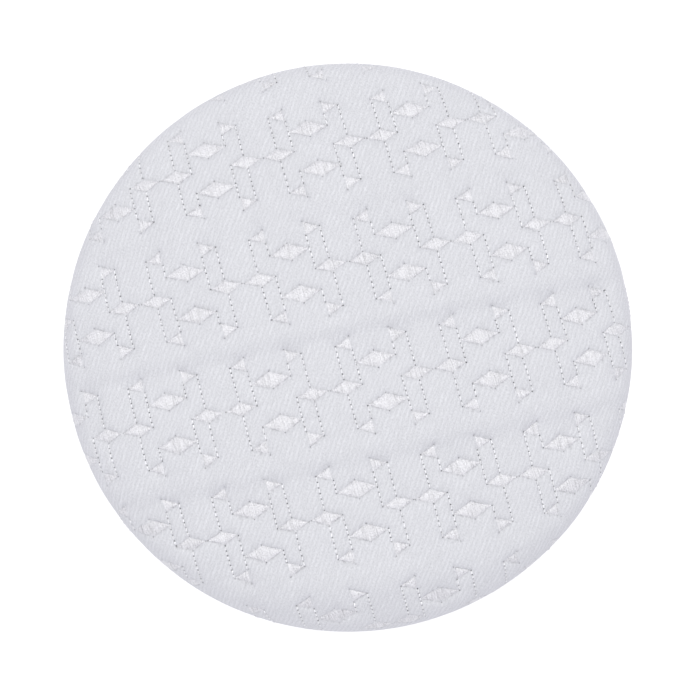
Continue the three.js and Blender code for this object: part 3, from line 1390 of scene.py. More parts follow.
def tube(book: MeshBook, route: Points, flat: Points, radius: float, taper: Sequence[float], sides: int,
         dark: Points | None = None) -> None:
    """Adds a short closed thread along a route.

    Args:
        book: Where the mesh goes.
        route: Points of its middle line.
        flat: Their cloth coordinates.
        radius: Radius of the thread.
        taper: Share of the radius at each point.
        sides: Corners of its section.
        dark: How much each point is darkened, from 0 to 1, such as painted shade in its needle hole.
    """
    ahead = np.gradient(route, axis=0)
    ahead /= np.linalg.norm(ahead, axis=1)[:, None]
    up = np.cross(ahead, np.cross((0.31, 0.57, 0.76), ahead[len(ahead) // 2]))
    up /= np.linalg.norm(up, axis=1)[:, None]
    over = np.cross(ahead, up)
    turn = np.arange(sides) * 2.0 * math.pi / sides
    ring = np.cos(turn)[None, :, None] * up[:, None] + np.sin(turn)[None, :, None] * over[:, None]
    places = route[:, None] + ring * (radius * np.array(taper))[:, None, None]
    count = len(route)
    faces: list[Sequence[int]] = []
    for i in range(count - 1):
        for j in range(sides):
            k = (j + 1) % sides
            faces.append((i * sides + j, i * sides + k, (i + 1) * sides + k, (i + 1) * sides + j))
    faces.append(tuple(range(sides))[::-1])
    faces.append(tuple(range((count - 1) * sides, count * sides)))
    spread = np.stack([flat, flat + (0.0, radius)], 1).mean(1)
    flats = spread[:, None] + pairs(turn * 0.0, turn / math.pi * radius)[None]
    pits = None if dark is None else np.repeat(dark, sides)
    book.add(places.reshape(-1, 3), flats.reshape(-1, 2), faces, 0, pits)


@dataclass
class RunningStitches:
    """Running stitch: one short thread from each needle hole to the next."""

    cloth: Cloth
    name: str
    radius: float = 0.22
    rise: float = 0.22
    dive: float = 0.42
    hole: float = 0.25
    # Random darkening of some stitches, and painted shade on stitches where the crown rolls over.
    darkening: float = 0.3
    rolled_shade: float = 0.32
    sides: int = 7
    along: tuple[float, ...] = (0.0, 0.09, 0.27, 0.5, 0.73, 0.91, 1.0)
    taper: tuple[float, ...] = (0.55, 0.85, 1.0, 1.05, 1.0, 0.85, 0.55)
    twist: float = 0.10
    twist_spread: float = 0.05
    rise_spread: float = 0.02
    drawn_in: float = 1.2

    def build(self, material: Material) -> Piece:
        """Makes every stitch.

        Args:
            material: The thread's.

        Returns:
            The piece.
        """
        rng = self.cloth.layout.rng(Draw.RUNNING)
        book = MeshBook()
        share = np.array(self.along)
        high = bow(share)
        for line in self.cloth.lines:
            ahead = (line.end - line.start) / np.linalg.norm(line.end - line.start)
            side = np.array([-ahead[1], ahead[0]])
            for start, end in zip(line.holes[:-1], line.holes[1:]):
                slant = rng.normal(self.twist, self.twist_spread)
                start, end = start + ahead * self.hole, end - ahead * self.hole
                flat = start + (end - start) * share[:, None] + side * (slant * (1.0 - 2.0 * share))[:, None]
                drawn = 1.0 - self.cloth.fullness(flat)
                lift = high * self.rise - (1.0 - high) * self.dive - self.drawn_in * self.radius * drawn
                lift = self.cloth.relief(flat) + lift + rng.normal(0.0, self.rise_spread)
                route = self.cloth.place(flat, lift)
                # Painted shade where the stitch dives into its needle holes, random darkening of some
                # stitches, and painted shade where the crown rolls over.
                worn = self.darkening * rng.random() ** 2
                dark = np.maximum((1.0 - high) ** 2, worn + self.rolled_shade * drawn)
                tube(book, route, flat, self.radius, self.taper, self.sides, dark)
        return book.build(self.name, [material])


@dataclass(frozen=True)
class Overlock:
    """Overlock stitch along a raw edge: a thread that loops from the edge to a line of needle holes.

    Each row of the loop's table is one point of it: share of the pitch run, share of the reach from
    the edge (below nothing where it wraps round the edge), and share of the lift.
    """

    pitch: float = 2.6
    reach: float = 3.4
    lift: float = 0.22
    wrap: float = 0.5
    edge_bite: float = 0.3
    radius: float = 0.15
    sides: int = 5
    loop: tuple[tuple[float, float, float], ...] = (
        (0.0, -1.0, -0.9), (0.02, 0.0, 1.0), (0.22, 0.5, 1.0), (0.5, 1.0, 0.2), (0.66, 0.5, 1.2),
        (0.92, 0.0, 1.0), (0.98, -1.0, -0.9))

    def sew(self, book: MeshBook, along: float, place: Callable[[Points, Points, Points], Points]) -> None:
        """Adds the loops along one edge.

        Args:
            book: Where the mesh goes.
            along: Length of the edge.
            place: Gives places from the length along the edge, the depth into the cloth from the edge
                and the height above its face.
        """
        loops = int(along / self.pitch)
        pitch = along / loops
        ahead, share, high = np.array(self.loop).T
        depth = np.where(share < 0.0, -self.wrap, np.maximum(share * self.reach, self.edge_bite))
        lift = high * self.lift
        for loop in range(loops):
            length = (loop + ahead) * pitch
            route = place(length, depth, lift)
            flat = pairs(length, depth)
            tube(book, route, flat, self.radius, [1.0] * len(route), self.sides)


# ---- hem and the seams inside ----


def around_z(angle: Points, radius: Points, height: Points) -> Points:
    """Places at angles round the cap, measured from the front towards +X."""
    return np.stack([radius * np.sin(angle), -radius * np.cos(angle), height + 0.0 * angle], -1)


def swept(book: MeshBook, places: Points, flats: Points, closed: bool) -> None:
    """Adds a closed section swept along a route.

    Args:
        book: Where the mesh goes.
        places: Vertices by step and by place on the section, which runs clockwise seen from ahead.
        flats: Their cloth coordinates.
        closed: Whether the last step joins the first. An open route gets two end faces.
    """
    steps, count = places.shape[:2]
    faces: list[Sequence[int]] = []
    for i in range(steps if closed else steps - 1):
        near, far = i * count, (i + 1) % steps * count
        for j in range(count):
            k = (j + 1) % count
            faces.append((near + j, far + j, far + k, near + k))
    if not closed:
        faces.append(tuple(range(count)))
        faces.append(tuple(range((steps - 1) * count, steps * count))[::-1])
    book.add(places.reshape(-1, 3), flats.reshape(-1, 2), faces)


@dataclass
class Hem:
    """Plain twill turned up round the head opening, with topstitching and an overlocked inner edge."""

    sizes: CapSizes
    face_radius: float = 93.0
    foot_inner: float = 89.9
    edge: float = 0.9
    leaf: float = 1.0
    leaf_top_radius: float = 89.62
    stitches: int = 228
    steps_per_stitch: int = 4
    rows: Pair = (2.5, 9.8)
    pinch: float = 0.36
    hole: float = 0.20
    pinch_reach: float = 0.95
    puff: float = 0.30
    groove: float = 0.9
    groove_half_width: float = 0.9
    ripple: Ripple = field(default_factory=lambda: Ripple(seed=31, shortest=9.0, longest=40.0))
    ripple_rise: float = 0.16
    ripple_span: Pair = (0.4, 3.0)
    face_inset: float = 0.25
    leaf_pinch: Pair = (0.2, 0.08)
    leaf_foot_radius: float = 90.0
    crest: float = 0.4
    crest_inset: float = 0.25
    thread_radius: float = 0.17
    thread_sides: int = 6
    thread_along: tuple[float, ...] = (0.0, 0.1, 0.3, 0.5, 0.7, 0.9, 1.0)
    thread_taper: tuple[float, ...] = (0.8, 1.0, 1.0, 1.0, 1.0, 1.0, 0.8)
    thread_rise: float = 0.10
    thread_dive: float = 0.24

    def face(self, height: Points, angle: Points, phase: Points) -> Points:
        """Outside radius of the hem at heights and angles, with its stitching pulled in.

        Args:
            height: Heights above the floor.
            angle: Angles round the cap from the front.
            phase: Place in the stitch, a whole turn for each.

        Returns:
            One radius for each place.
        """
        mid = np.clip((height - self.rows[0]) / (self.rows[1] - self.rows[0]), 0.0, 1.0)
        radius = self.face_radius - self.face_inset + self.puff * np.sin(mid * math.pi)
        for row in self.rows:
            pull = bell(height - row, self.pinch_reach)
            radius = radius - (self.pinch - self.hole * np.cos(phase)) * pull * 0.5 - 0.5 * self.pinch * pull
        wave = self.ripple_rise * self.ripple.at(pairs(angle * self.face_radius, height))
        from_back = (math.pi - np.abs(angle)) * self.face_radius
        groove = self.groove * bell(from_back, self.groove_half_width)
        return radius + wave * smoothstep(height, *self.ripple_span) - groove

    def leaf_radius(self, height: Points, angle: Points, phase: Points) -> Points:
        """Inside radius of the hem, with the same stitching showing.

        Args:
            height: Heights above the floor.
            angle: Angles round the cap from the front.
            phase: Place in the stitch, a whole turn for each.

        Returns:
            One radius for each place.
        """
        share = np.clip((height - self.edge) / (self.sizes.hem_return - self.edge), 0.0, 1.0)
        radius = self.sizes.head_radius + share * (self.leaf_top_radius - self.leaf - self.sizes.head_radius)
        for row in self.rows:
            pinch = self.leaf_pinch[0] + self.leaf_pinch[1] * np.cos(phase)
            radius = radius + pinch * bell(height - row, self.pinch_reach)
        return radius

    def build(self, material: Material) -> Piece:
        """Makes the hem as one closed ring with a flat foot.

        Args:
            material: The cloth's.

        Returns:
            The piece.
        """
        steps = self.stitches * self.steps_per_stitch
        angle = (np.arange(steps) / steps * 2.0 - 1.0)[:, None] * math.pi
        phase = np.arange(steps)[:, None] / self.steps_per_stitch * 2.0 * math.pi
        top, edge, back = self.sizes.hem_height, self.edge, self.sizes.hem_return
        height = np.linspace(edge, top - edge, 19)
        outer = self.face(height[None], angle, phase)
        leaf_height = np.linspace(top, back - self.crest, 5)
        leaf_outer = np.interp(leaf_height, [top, back], [self.leaf_foot_radius, self.leaf_top_radius])
        crest_outer = self.leaf_top_radius - self.crest_inset
        crest_inner = self.leaf_top_radius - self.leaf + self.crest_inset
        inner_height = np.concatenate([np.linspace(back - self.crest, top, 5),
                                       np.linspace(top - 0.8, edge, 14)])
        inner = self.leaf_radius(inner_height[None], angle, phase)
        section = np.concatenate([
            np.broadcast_to([self.foot_inner, 0.0], (steps, 1, 2)),
            self._turned(outer[:, :1], (-90.0, -55.0, -28.0), edge),
            pairs(outer, height[None]),
            self._turned(outer[:, -1:], (28.0, 55.0, 90.0), top - edge),
            np.broadcast_to(pairs(leaf_outer, leaf_height), (steps, len(leaf_height), 2)),
            np.broadcast_to([(crest_outer, back), (crest_inner, back)], (steps, 2, 2)),
            pairs(inner, inner_height[None]),
            self._turned(inner[:, -1:] + 2.0 * edge, (208.0, 240.0), edge),
        ], 1)
        places = around_z(angle, section[..., 0], section[..., 1])
        flats = pairs(angle * self.face_radius, run_length(section))
        book = MeshBook()
        swept(book, places, flats, closed=True)
        return book.build("hem", [material])

    def _turned(self, outer: Points, degrees: Sequence[float], height: float) -> Points:
        """A rounded edge of the section.

        Args:
            outer: Radius at which the edge's arc starts or ends.
            degrees: Angles of its points.
            height: Height of the arc's middle.

        Returns:
            Radius and height of the arc's points, for each step round the cap.
        """
        turn = np.radians(degrees)
        radius = outer - self.edge + self.edge * np.cos(turn)[None]
        return pairs(radius, height + self.edge * np.sin(turn)[None])

    def build_topstitch(self, material: Material) -> Piece:
        """Makes both rows of topstitching, outside and inside.

        Args:
            material: The thread's.

        Returns:
            The piece.
        """
        book = MeshBook()
        share = np.array(self.thread_along)
        lift = bow(share) * (self.thread_rise + self.thread_dive) - self.thread_dive
        step = 2.0 * math.pi / self.stitches
        for row in self.rows:
            height = np.full(len(share), row)
            for number in range(self.stitches):
                angle = -math.pi + (number + share) * step
                phase = (number + share) * 2.0 * math.pi
                flat = pairs(angle * self.face_radius, height)
                for radius in (self.face(height, angle, phase) + lift,
                               self.leaf_radius(height, angle, phase) - lift):
                    route = around_z(angle, radius, height)
                    tube(book, route, flat, self.thread_radius, self.thread_taper, self.thread_sides)
        return book.build("hem_topstitch", [material])

    def overlock(self, book: MeshBook, stitch: Overlock) -> None:
        """Adds the loops along the hem's inner edge.

        Args:
            book: Where the mesh goes.
            stitch: The overlock stitch.
        """
        radius = self.sizes.head_radius

        def place(length: Points, depth: Points, lift: Points) -> Points:
            """Loops hang down from the inner edge."""
            angle, height = length / radius - math.pi, self.sizes.hem_return - depth
            return around_z(angle, self.leaf_radius(height, angle, 0.0 * angle) - lift, height)

        stitch.sew(book, 2.0 * math.pi * radius, place)


@dataclass
class CrownSeamEdge:
    """Raw edges of the crown and the band, sewn together and hanging down inside.

    Each row of the section's table is one corner: how deep it hangs, and how far in, in leaves.
    """

    sizes: CapSizes
    top: float = 78.6
    drop: float = 7.0
    outer_radius: float = 87.8
    lean: float = 0.033
    leaf: float = 0.95
    steps: int = 420
    wave: Ripple = field(default_factory=lambda: Ripple(seed=41, shortest=16.0, longest=70.0))
    wave_rise: float = 0.55
    fray: Ripple = field(default_factory=lambda: Ripple(seed=42, shortest=2.5, longest=9.0))
    fray_rise: float = 0.25
    section: tuple[Pair, ...] = (
        (0.0, 0.0), (1.8, 0.0), (3.6, 0.0), (5.2, 0.0), (6.4, 0.0), (6.9, 0.1), (7.0, 0.45),
        (6.8, 0.8), (5.4, 0.9), (3.8, 1.0), (5.4, 1.1), (6.6, 1.2), (7.0, 1.55), (6.8, 1.9),
        (6.0, 2.0), (4.6, 2.0), (3.0, 2.0), (1.5, 2.0), (0.0, 2.0))

    def radius(self, angle: Points, depth: Points) -> Points:
        """Outside radius of the two leaves at a depth below their top.

        Args:
            angle: Angles round the cap from the front.
            depth: Depths below the leaves' top.

        Returns:
            One radius for each place.
        """
        wave = self.wave.at(pairs(angle * self.outer_radius, 0.5 * depth))
        share = np.clip(depth / self.drop, 0.0, 1.0)
        return self.outer_radius + self.lean * depth + self.wave_rise * (wave - 1.0) * share ** 1.5

    def build(self, material: Material) -> Piece:
        """Makes the two leaves as one closed ring, split along its lower edge.

        Args:
            material: The cloth's.

        Returns:
            The piece.
        """
        angle = (np.arange(self.steps) / self.steps * 2.0 - 1.0)[:, None] * math.pi
        fray = self.fray_rise * self.fray.at(pairs(angle * self.outer_radius, 0.0))
        depth, inset = np.array(self.section).T
        deep = depth / self.drop * (self.drop + fray)
        radius = self.radius(angle, deep) - inset * self.leaf
        places = around_z(angle, radius[:, ::-1], (self.top - deep)[:, ::-1])
        flats = pairs(angle * self.outer_radius, deep + inset)[:, ::-1]
        book = MeshBook()
        swept(book, places, flats, closed=True)
        return book.build("crown_seam_edge", [material])

    def overlock(self, book: MeshBook, stitch: Overlock) -> None:
        """Adds the loops along its lower edge.

        Args:
            book: Where the mesh goes.
            stitch: The overlock stitch.
        """

        def place(length: Points, depth: Points, lift: Points) -> Points:
            """Loops stand up from the lower edge, on the side that faces the head."""
            angle, deep = length / self.outer_radius - math.pi, self.drop - depth
            return around_z(angle, self.radius(angle, deep) - 2.0 * self.leaf - lift, self.top - deep)

        stitch.sew(book, 2.0 * math.pi * self.outer_radius, place)


@dataclass
class BackSeamFlaps:
    """The band's ends, sewn together at the back and pressed open inside."""

    bottom: float = 24.5
    top: float = 70.9
    width: float = 8.8
    thickness: float = 1.3
    gap: float = 0.12
    radius_bottom: float = 89.3
    radius_top: float = 87.8
    steps: int = 70
    wave: Ripple = field(default_factory=lambda: Ripple(seed=51, shortest=9.0, longest=30.0))
    wave_rise: float = 0.3
    wave_stretch: float = 0.4
    open_start: float = 1.6
    edge_round: float = 0.25
    steps_across: int = 8

    def _place(self, across: Points, inset: Points, height: Points) -> Points:
        """Places on a flap, from the distance to the seam, the depth inwards and the height.

        Args:
            across: Distance from the seam.
            inset: Depth inwards.
            height: Height above the floor.

        Returns:
            Places in the cap's own space.
        """
        share = (height - self.bottom) / (self.top - self.bottom)
        radius = self.radius_bottom + share * (self.radius_top - self.radius_bottom)
        wave = self.wave.at(pairs(across * self.wave_stretch, height))
        inward = inset + self.wave_rise * (wave + 1.0) * (np.abs(across) / self.width) ** 2
        return around_z(math.pi - across / radius, radius - inward, height)

    def build(self, material: Material) -> Piece:
        """Makes the two flaps.

        Args:
            material: The cloth's.

        Returns:
            The piece.
        """
        book = MeshBook()
        height = np.linspace(self.bottom, self.top, self.steps)[:, None]
        half = self.thickness / 2.0
        turn = np.radians(np.linspace(90.0, 270.0, 7))
        fold = pairs(self.gap + half + half * np.cos(turn), half - half * np.sin(turn))
        out = np.linspace(self.open_start, self.width, self.steps_across)
        section = np.concatenate([fold, pairs(out, self.thickness), [(self.width + self.edge_round, half)],
                                  pairs(out[::-1], 0.0)])
        for side in (-1, 1):
            across, inset = side * section[None, :, 0], section[None, :, 1]
            places, flats = self._place(across, inset, height), pairs(across + inset, height)
            if side > 0:
                places, flats = places[:, ::-1], flats[:, ::-1]
            swept(book, places, flats, closed=False)
        return book.build("back_seam_flaps", [material])

    def overlock(self, book: MeshBook, stitch: Overlock) -> None:
        """Adds the loops along both outer edges.

        Args:
            book: Where the mesh goes.
            stitch: The overlock stitch.
        """
        for side in (-1, 1):

            def place(length: Points, depth: Points, lift: Points, side: int = side) -> Points:
                """Loops run in from the flap's outer edge."""
                across = side * (self.width + 0.2 - depth)
                return self._place(across, self.thickness + lift, self.bottom + length)

            stitch.sew(book, self.top - self.bottom, place)


# ---- shader groups ----

Socket = bpy.types.NodeSocket


class Graph:
    """A node tree under construction, with short calls for the nodes that cloth needs."""

    def __init__(self, tree: NodeTree) -> None:
        """Empties the tree."""
        self.tree = tree
        tree.nodes.clear()

    def node(self, kind: str, inputs: dict[str | int, object] | None = None,
             **settings: object) -> bpy.types.Node:
        """Adds a node.

        Args:
            kind: Its type, without the ShaderNode prefix.
            inputs: Values or sockets for its inputs.
            settings: Properties of the node.

        Returns:
            The node.
        """
        made = self.tree.nodes.new(kind if kind.startswith("Node") else f"ShaderNode{kind}")
        for key, value in settings.items():
            setattr(made, key, value)
        for key, value in (inputs or {}).items():
            if isinstance(value, Socket):
                self.tree.links.new(value, made.inputs[key])
            else:
                made.inputs[key].default_value = value
        return made

    def math(self, operation: str, one: object, two: object = 0.0, three: object = 0.0) -> Socket:
        """A sum, product or other calculation on numbers."""
        return self.node("Math", {0: one, 1: two, 2: three}, operation=operation).outputs[0]

    def noise(self, place: Socket, scale: float, detail: float = 2.0, roughness: float = 0.5) -> Socket:
        """Smooth noise from 0 to 1, scale in bumps a millimetre."""
        return self.node("TexNoise", {"Vector": place, "Scale": scale, "Detail": detail,
                                      "Roughness": roughness}, noise_dimensions="2D").outputs[0]

    def swing(self, value: Socket, weight: object, base: object, middle: float = 0.5) -> Socket:
        """A base, raised or lowered by a weight times how far a value lies from its middle."""
        return self.math("MULTIPLY_ADD", self.math("SUBTRACT", value, middle), weight, base)

    def wave(self, turns: Socket) -> Socket:
        """An even wave from -1 to 1, one for each whole turn."""
        return self.math("COSINE", self.math("MULTIPLY", turns, 2.0 * math.pi))

    def stretched(self, across: Socket, along: Socket, scale: Pair) -> Socket:
        """A place from its distances across and along the yarn, each with a scale of its own."""
        parts = {i: self.math("MULTIPLY", d, k) for i, (d, k) in enumerate(zip((across, along), scale))}
        return self.node("CombineXYZ", parts).outputs[0]

    def tint(self, colour: object, shade: Socket) -> Socket:
        """A colour darkened or lightened by a shade."""
        return self.node("VectorMath", {0: colour, 3: shade}, operation="SCALE").outputs[0]

    def flat_place(self) -> Socket:
        """Place on the flat cloth, in millimetres."""
        return self.node("UVMap", uv_map=FABRIC_MAP).outputs[0]


def new_group(name: str, inputs: dict[str, float],
              outputs: Sequence[str]) -> tuple[Graph, Callable, Callable]:
    """Starts a shader group with named sockets.

    Args:
        name: The group's name.
        inputs: Its inputs and their defaults.
        outputs: Its outputs.

    Returns:
        The graph, a way to read an input and a way to set an output.
    """
    tree = bpy.data.node_groups.new(name, "ShaderNodeTree")
    graph = Graph(tree)
    for key, value in inputs.items():
        tree.interface.new_socket(key, in_out="INPUT", socket_type="NodeSocketFloat").default_value = value
    for key in outputs:
        tree.interface.new_socket(key, in_out="OUTPUT", socket_type="NodeSocketFloat")
    source = graph.node("NodeGroupInput")
    sink = graph.node("NodeGroupOutput")

    def write(key: str, socket: Socket) -> None:
        """Sets an output."""
        tree.links.new(socket, sink.inputs[key])

    return graph, source.outputs.__getitem__, write


def rotated(graph: Graph, place: Socket, angle: Socket) -> tuple[Socket, Socket]:
    """Distances of a flat place across and along a direction.

    Args:
        graph: Where the nodes go.
        place: The flat place.
        angle: The direction's angle, in radians.

    Returns:
        The distance across the direction and the distance along it.
    """
    parts = graph.node("SeparateXYZ", {0: place})
    x, y = parts.outputs[0], parts.outputs[1]
    cosine, sine = graph.math("COSINE", angle), graph.math("SINE", angle)
    across = graph.math("SUBTRACT", graph.math("MULTIPLY", x, sine), graph.math("MULTIPLY", y, cosine))
    along = graph.math("ADD", graph.math("MULTIPLY", x, cosine), graph.math("MULTIPLY", y, sine))
    return across, along


def twill_weave() -> NodeTree:
    """Diagonal ribs, each a row of short slanting yarn floats, with slubs and fine fuzz.

    Returns:
        The shader group.
    """
    graph, read, write = new_group("twill_weave", {"Rib Pitch": 1.44, "Rib Angle": 1.24, "Float Length": 0.9},
                                   ("Height", "Shade"))
    place = graph.flat_place()
    drift = graph.swing(graph.noise(place, 0.03, 1.0), 2.0, 0.0)
    fine_drift = graph.swing(graph.noise(place, 0.5, 2.0), 0.6, 0.0)
    across, along = rotated(graph, place, read("Rib Angle"))
    across = graph.math("ADD", graph.math("ADD", across, drift), fine_drift)
    rib_place = graph.math("DIVIDE", across, read("Rib Pitch"))
    wave = graph.wave(rib_place)
    rib = graph.math("POWER", graph.math("MULTIPLY_ADD", wave, 0.5, 0.5), 0.7)
    number = graph.math("ROUND", rib_place)
    slant = graph.math("MULTIPLY", graph.math("SUBTRACT", rib_place, number), 0.55)
    shifted = graph.math("ADD", graph.math("DIVIDE", along, read("Float Length")), slant)
    shifted = graph.math("MULTIPLY_ADD", number, 0.41, shifted)
    yarn = graph.math("MULTIPLY", graph.math("MULTIPLY_ADD", graph.wave(shifted), 0.5, 0.5), rib)
    streak = graph.noise(graph.stretched(rib_place, along, (1.8, 0.26)), 1.0, 2.0, 0.7)
    fuzz = graph.noise(graph.stretched(across, along, (2.7, 1.7)), 1.0, 1.0, 0.8)
    height = graph.math("MULTIPLY_ADD", rib, 0.55, graph.math("MULTIPLY", yarn, 0.25))
    write("Height", graph.swing(streak, 0.6, graph.swing(fuzz, 0.5, height)))
    # Partly painted shade: ribs and yarn floats lighter on their crests, darker between them; slubs and fuzz
    # add random tone.
    uneven = graph.math("MULTIPLY_ADD", wave, 0.27, 0.10)
    shade = graph.swing(streak, uneven, graph.swing(rib, 0.06, 1.0))
    write("Shade", graph.swing(fuzz, 0.38, graph.swing(yarn, 0.03, shade, middle=0.3)))
    return graph.tree


def cloth_variation() -> NodeTree:
    """Faint clouds of lighter and darker cloth, and the pit attribute's painted shade and thread tone.

    Returns:
        The shader group.
    """
    graph, read, write = new_group("cloth_variation", {"Amount": 0.02, "Hole Darkness": 0.6}, ("Shade",))
    place = graph.flat_place()
    clouds = graph.math("SUBTRACT", graph.noise(place, 0.045, 3.0, 0.55), 0.5)
    pit = graph.node("Attribute", attribute_name=PIT_ATTRIBUTE).outputs["Fac"]
    # Painted shade in needle holes and dents, and the threads' random tone, read from the pit attribute.
    hole = graph.math("MULTIPLY", graph.math("POWER", pit, 1.4), read("Hole Darkness"))
    cloud_shade = graph.math("MULTIPLY_ADD", clouds, graph.math("MULTIPLY", read("Amount"), 2.0), 1.0)
    write("Shade", graph.math("MULTIPLY", cloud_shade, graph.math("SUBTRACT", 1.0, hole)))
    return graph.tree


def thread_fibres() -> NodeTree:
    """Twisted plies and fine fibres of embroidery thread, running along a direction.

    Returns:
        The shader group.
    """
    graph, read, write = new_group("thread_fibres", {"Angle": 0.0, "Ply": 0.38}, ("Height", "Shade"))
    place = graph.flat_place()
    across, along = rotated(graph, place, read("Angle"))
    twist = graph.math("ADD", graph.math("DIVIDE", across, read("Ply")), graph.math("MULTIPLY", along, 1.1))
    ply = graph.math("MULTIPLY_ADD", graph.wave(twist), 0.5, 0.5)
    streak = graph.noise(graph.stretched(across, along, (3.6, 0.9)), 1.0, 3.0, 0.6)
    fuzz = graph.noise(place, 2.5, 1.0, 0.8)
    write("Height", graph.swing(streak, 0.8, graph.math("MULTIPLY", ply, 0.25)))
    write("Shade", graph.swing(fuzz, 0.75, graph.swing(streak, 0.48, 1.0)))
    return graph.tree


class Weave(Enum):
    """Shader groups that the finishes choose from."""

    TWILL = "twill_weave"
    VARIATION = "cloth_variation"
    THREAD = "thread_fibres"

    def tree(self) -> NodeTree:
        """The group, made on its first use.

        Returns:
            The group.
        """
        makers = {Weave.TWILL: twill_weave, Weave.VARIATION: cloth_variation, Weave.THREAD: thread_fibres}
        found = bpy.data.node_groups.get(self.value)
        return found or makers[self]()


def placed(graph: Graph, weave: Weave, values: dict[str, float]) -> bpy.types.Node:
    """Places a shared shader group in a material, with its own values.

    Args:
        graph: The material's nodes.
        weave: Which group.
        values: Its inputs' values.

    Returns:
        The group's node.
    """
    made = graph.node("Group", node_tree=weave.tree())
    for key, value in values.items():
        made.inputs[key].default_value = value
    return made


# ---- finishes ----

Colour = tuple[float, float, float]


@dataclass(frozen=True)
class Finish:
    """What every finish of the cap has: a colour, a weave that shades and lifts it, and its lustre."""

    name: str
    colour: Colour
    bump: float
    roughness: float
    specular: float
    sheen: float
    sheen_roughness: float
    clouds: float
    hole_darkness: float

    def weave(self) -> tuple[Weave, dict[str, float]]:
        """The shader group that the finish is woven with, and its values."""
        raise NotImplementedError

    def build(self) -> Material:
        """Makes the material.

        Returns:
            The material.
        """
        material = bpy.data.materials.new(self.name)
        material.use_nodes = True
        graph = Graph(material.node_tree)
        weave = placed(graph, *self.weave())
        variation = placed(graph, Weave.VARIATION, {"Amount": self.clouds,
                                                    "Hole Darkness": self.hole_darkness})
        # The colour is scaled by painted shade from the weave and the pit attribute, with random tone.
        shade = graph.math("MULTIPLY", weave.outputs["Shade"], variation.outputs["Shade"])
        normal = graph.node("Bump", {"Strength": 1.0, "Distance": self.bump * MM,
                                     "Height": weave.outputs["Height"]})
        shader = graph.node("BsdfPrincipled", {
            "Base Color": graph.tint(self.colour, shade), "Roughness": self.roughness,
            "Specular IOR Level": self.specular, "Sheen Weight": self.sheen,
            "Sheen Roughness": self.sheen_roughness, "Normal": normal.outputs[0],
        })
        graph.node("OutputMaterial", {0: shader.outputs[0]})
        return material


@dataclass(frozen=True)
class ClothFinish(Finish):
    """Brushed white cotton twill."""

    colour: Colour = (0.686, 0.688, 0.720)
    bump: float = 0.10
    roughness: float = 0.92
    specular: float = 0.25
    sheen: float = 0.12
    sheen_roughness: float = 0.6
    clouds: float = 0.02
    hole_darkness: float = 0.9
    rib_pitch: float = 1.44
    rib_angle: float = math.radians(71.0)
    float_length: float = 0.9

    def weave(self) -> tuple[Weave, dict[str, float]]:
        """Diagonal ribs."""
        return Weave.TWILL, {"Rib Pitch": self.rib_pitch, "Rib Angle": self.rib_angle,
                             "Float Length": self.float_length}


@dataclass(frozen=True)
class ThreadFinish(Finish):
    """Lustrous white embroidery thread."""

    colour: Colour = (0.806, 0.799, 0.834)
    bump: float = 0.035
    roughness: float = 0.42
    specular: float = 0.75
    sheen: float = 0.25
    sheen_roughness: float = 0.4
    clouds: float = 0.01
    hole_darkness: float = 0.7
    angle: float = 0.0

    def weave(self) -> tuple[Weave, dict[str, float]]:
        """Twisted plies and fine fibres."""
        return Weave.THREAD, {"Angle": self.angle}


# ---- studio ----


@dataclass(frozen=True)
class SoftLight:
    """A large, faintly warm square light that points at the cap."""

    name: str
    place: tuple[float, float, float]
    size: float
    power: float
    colour: Colour = (0.985, 1.0, 0.887)

    def build(self, target: Vector) -> None:
        """Hangs the light.

        Args:
            target: What it points at.
        """
        light = bpy.data.lights.new(self.name, "AREA")
        light.size = self.size
        light.energy = self.power
        light.color = self.colour
        lamp = bpy.data.objects.new(self.name, light)
        lamp.location = self.place
        lamp.rotation_euler = (target - Vector(self.place)).to_track_quat("-Z", "Y").to_euler()
        bpy.context.scene.collection.objects.link(lamp)


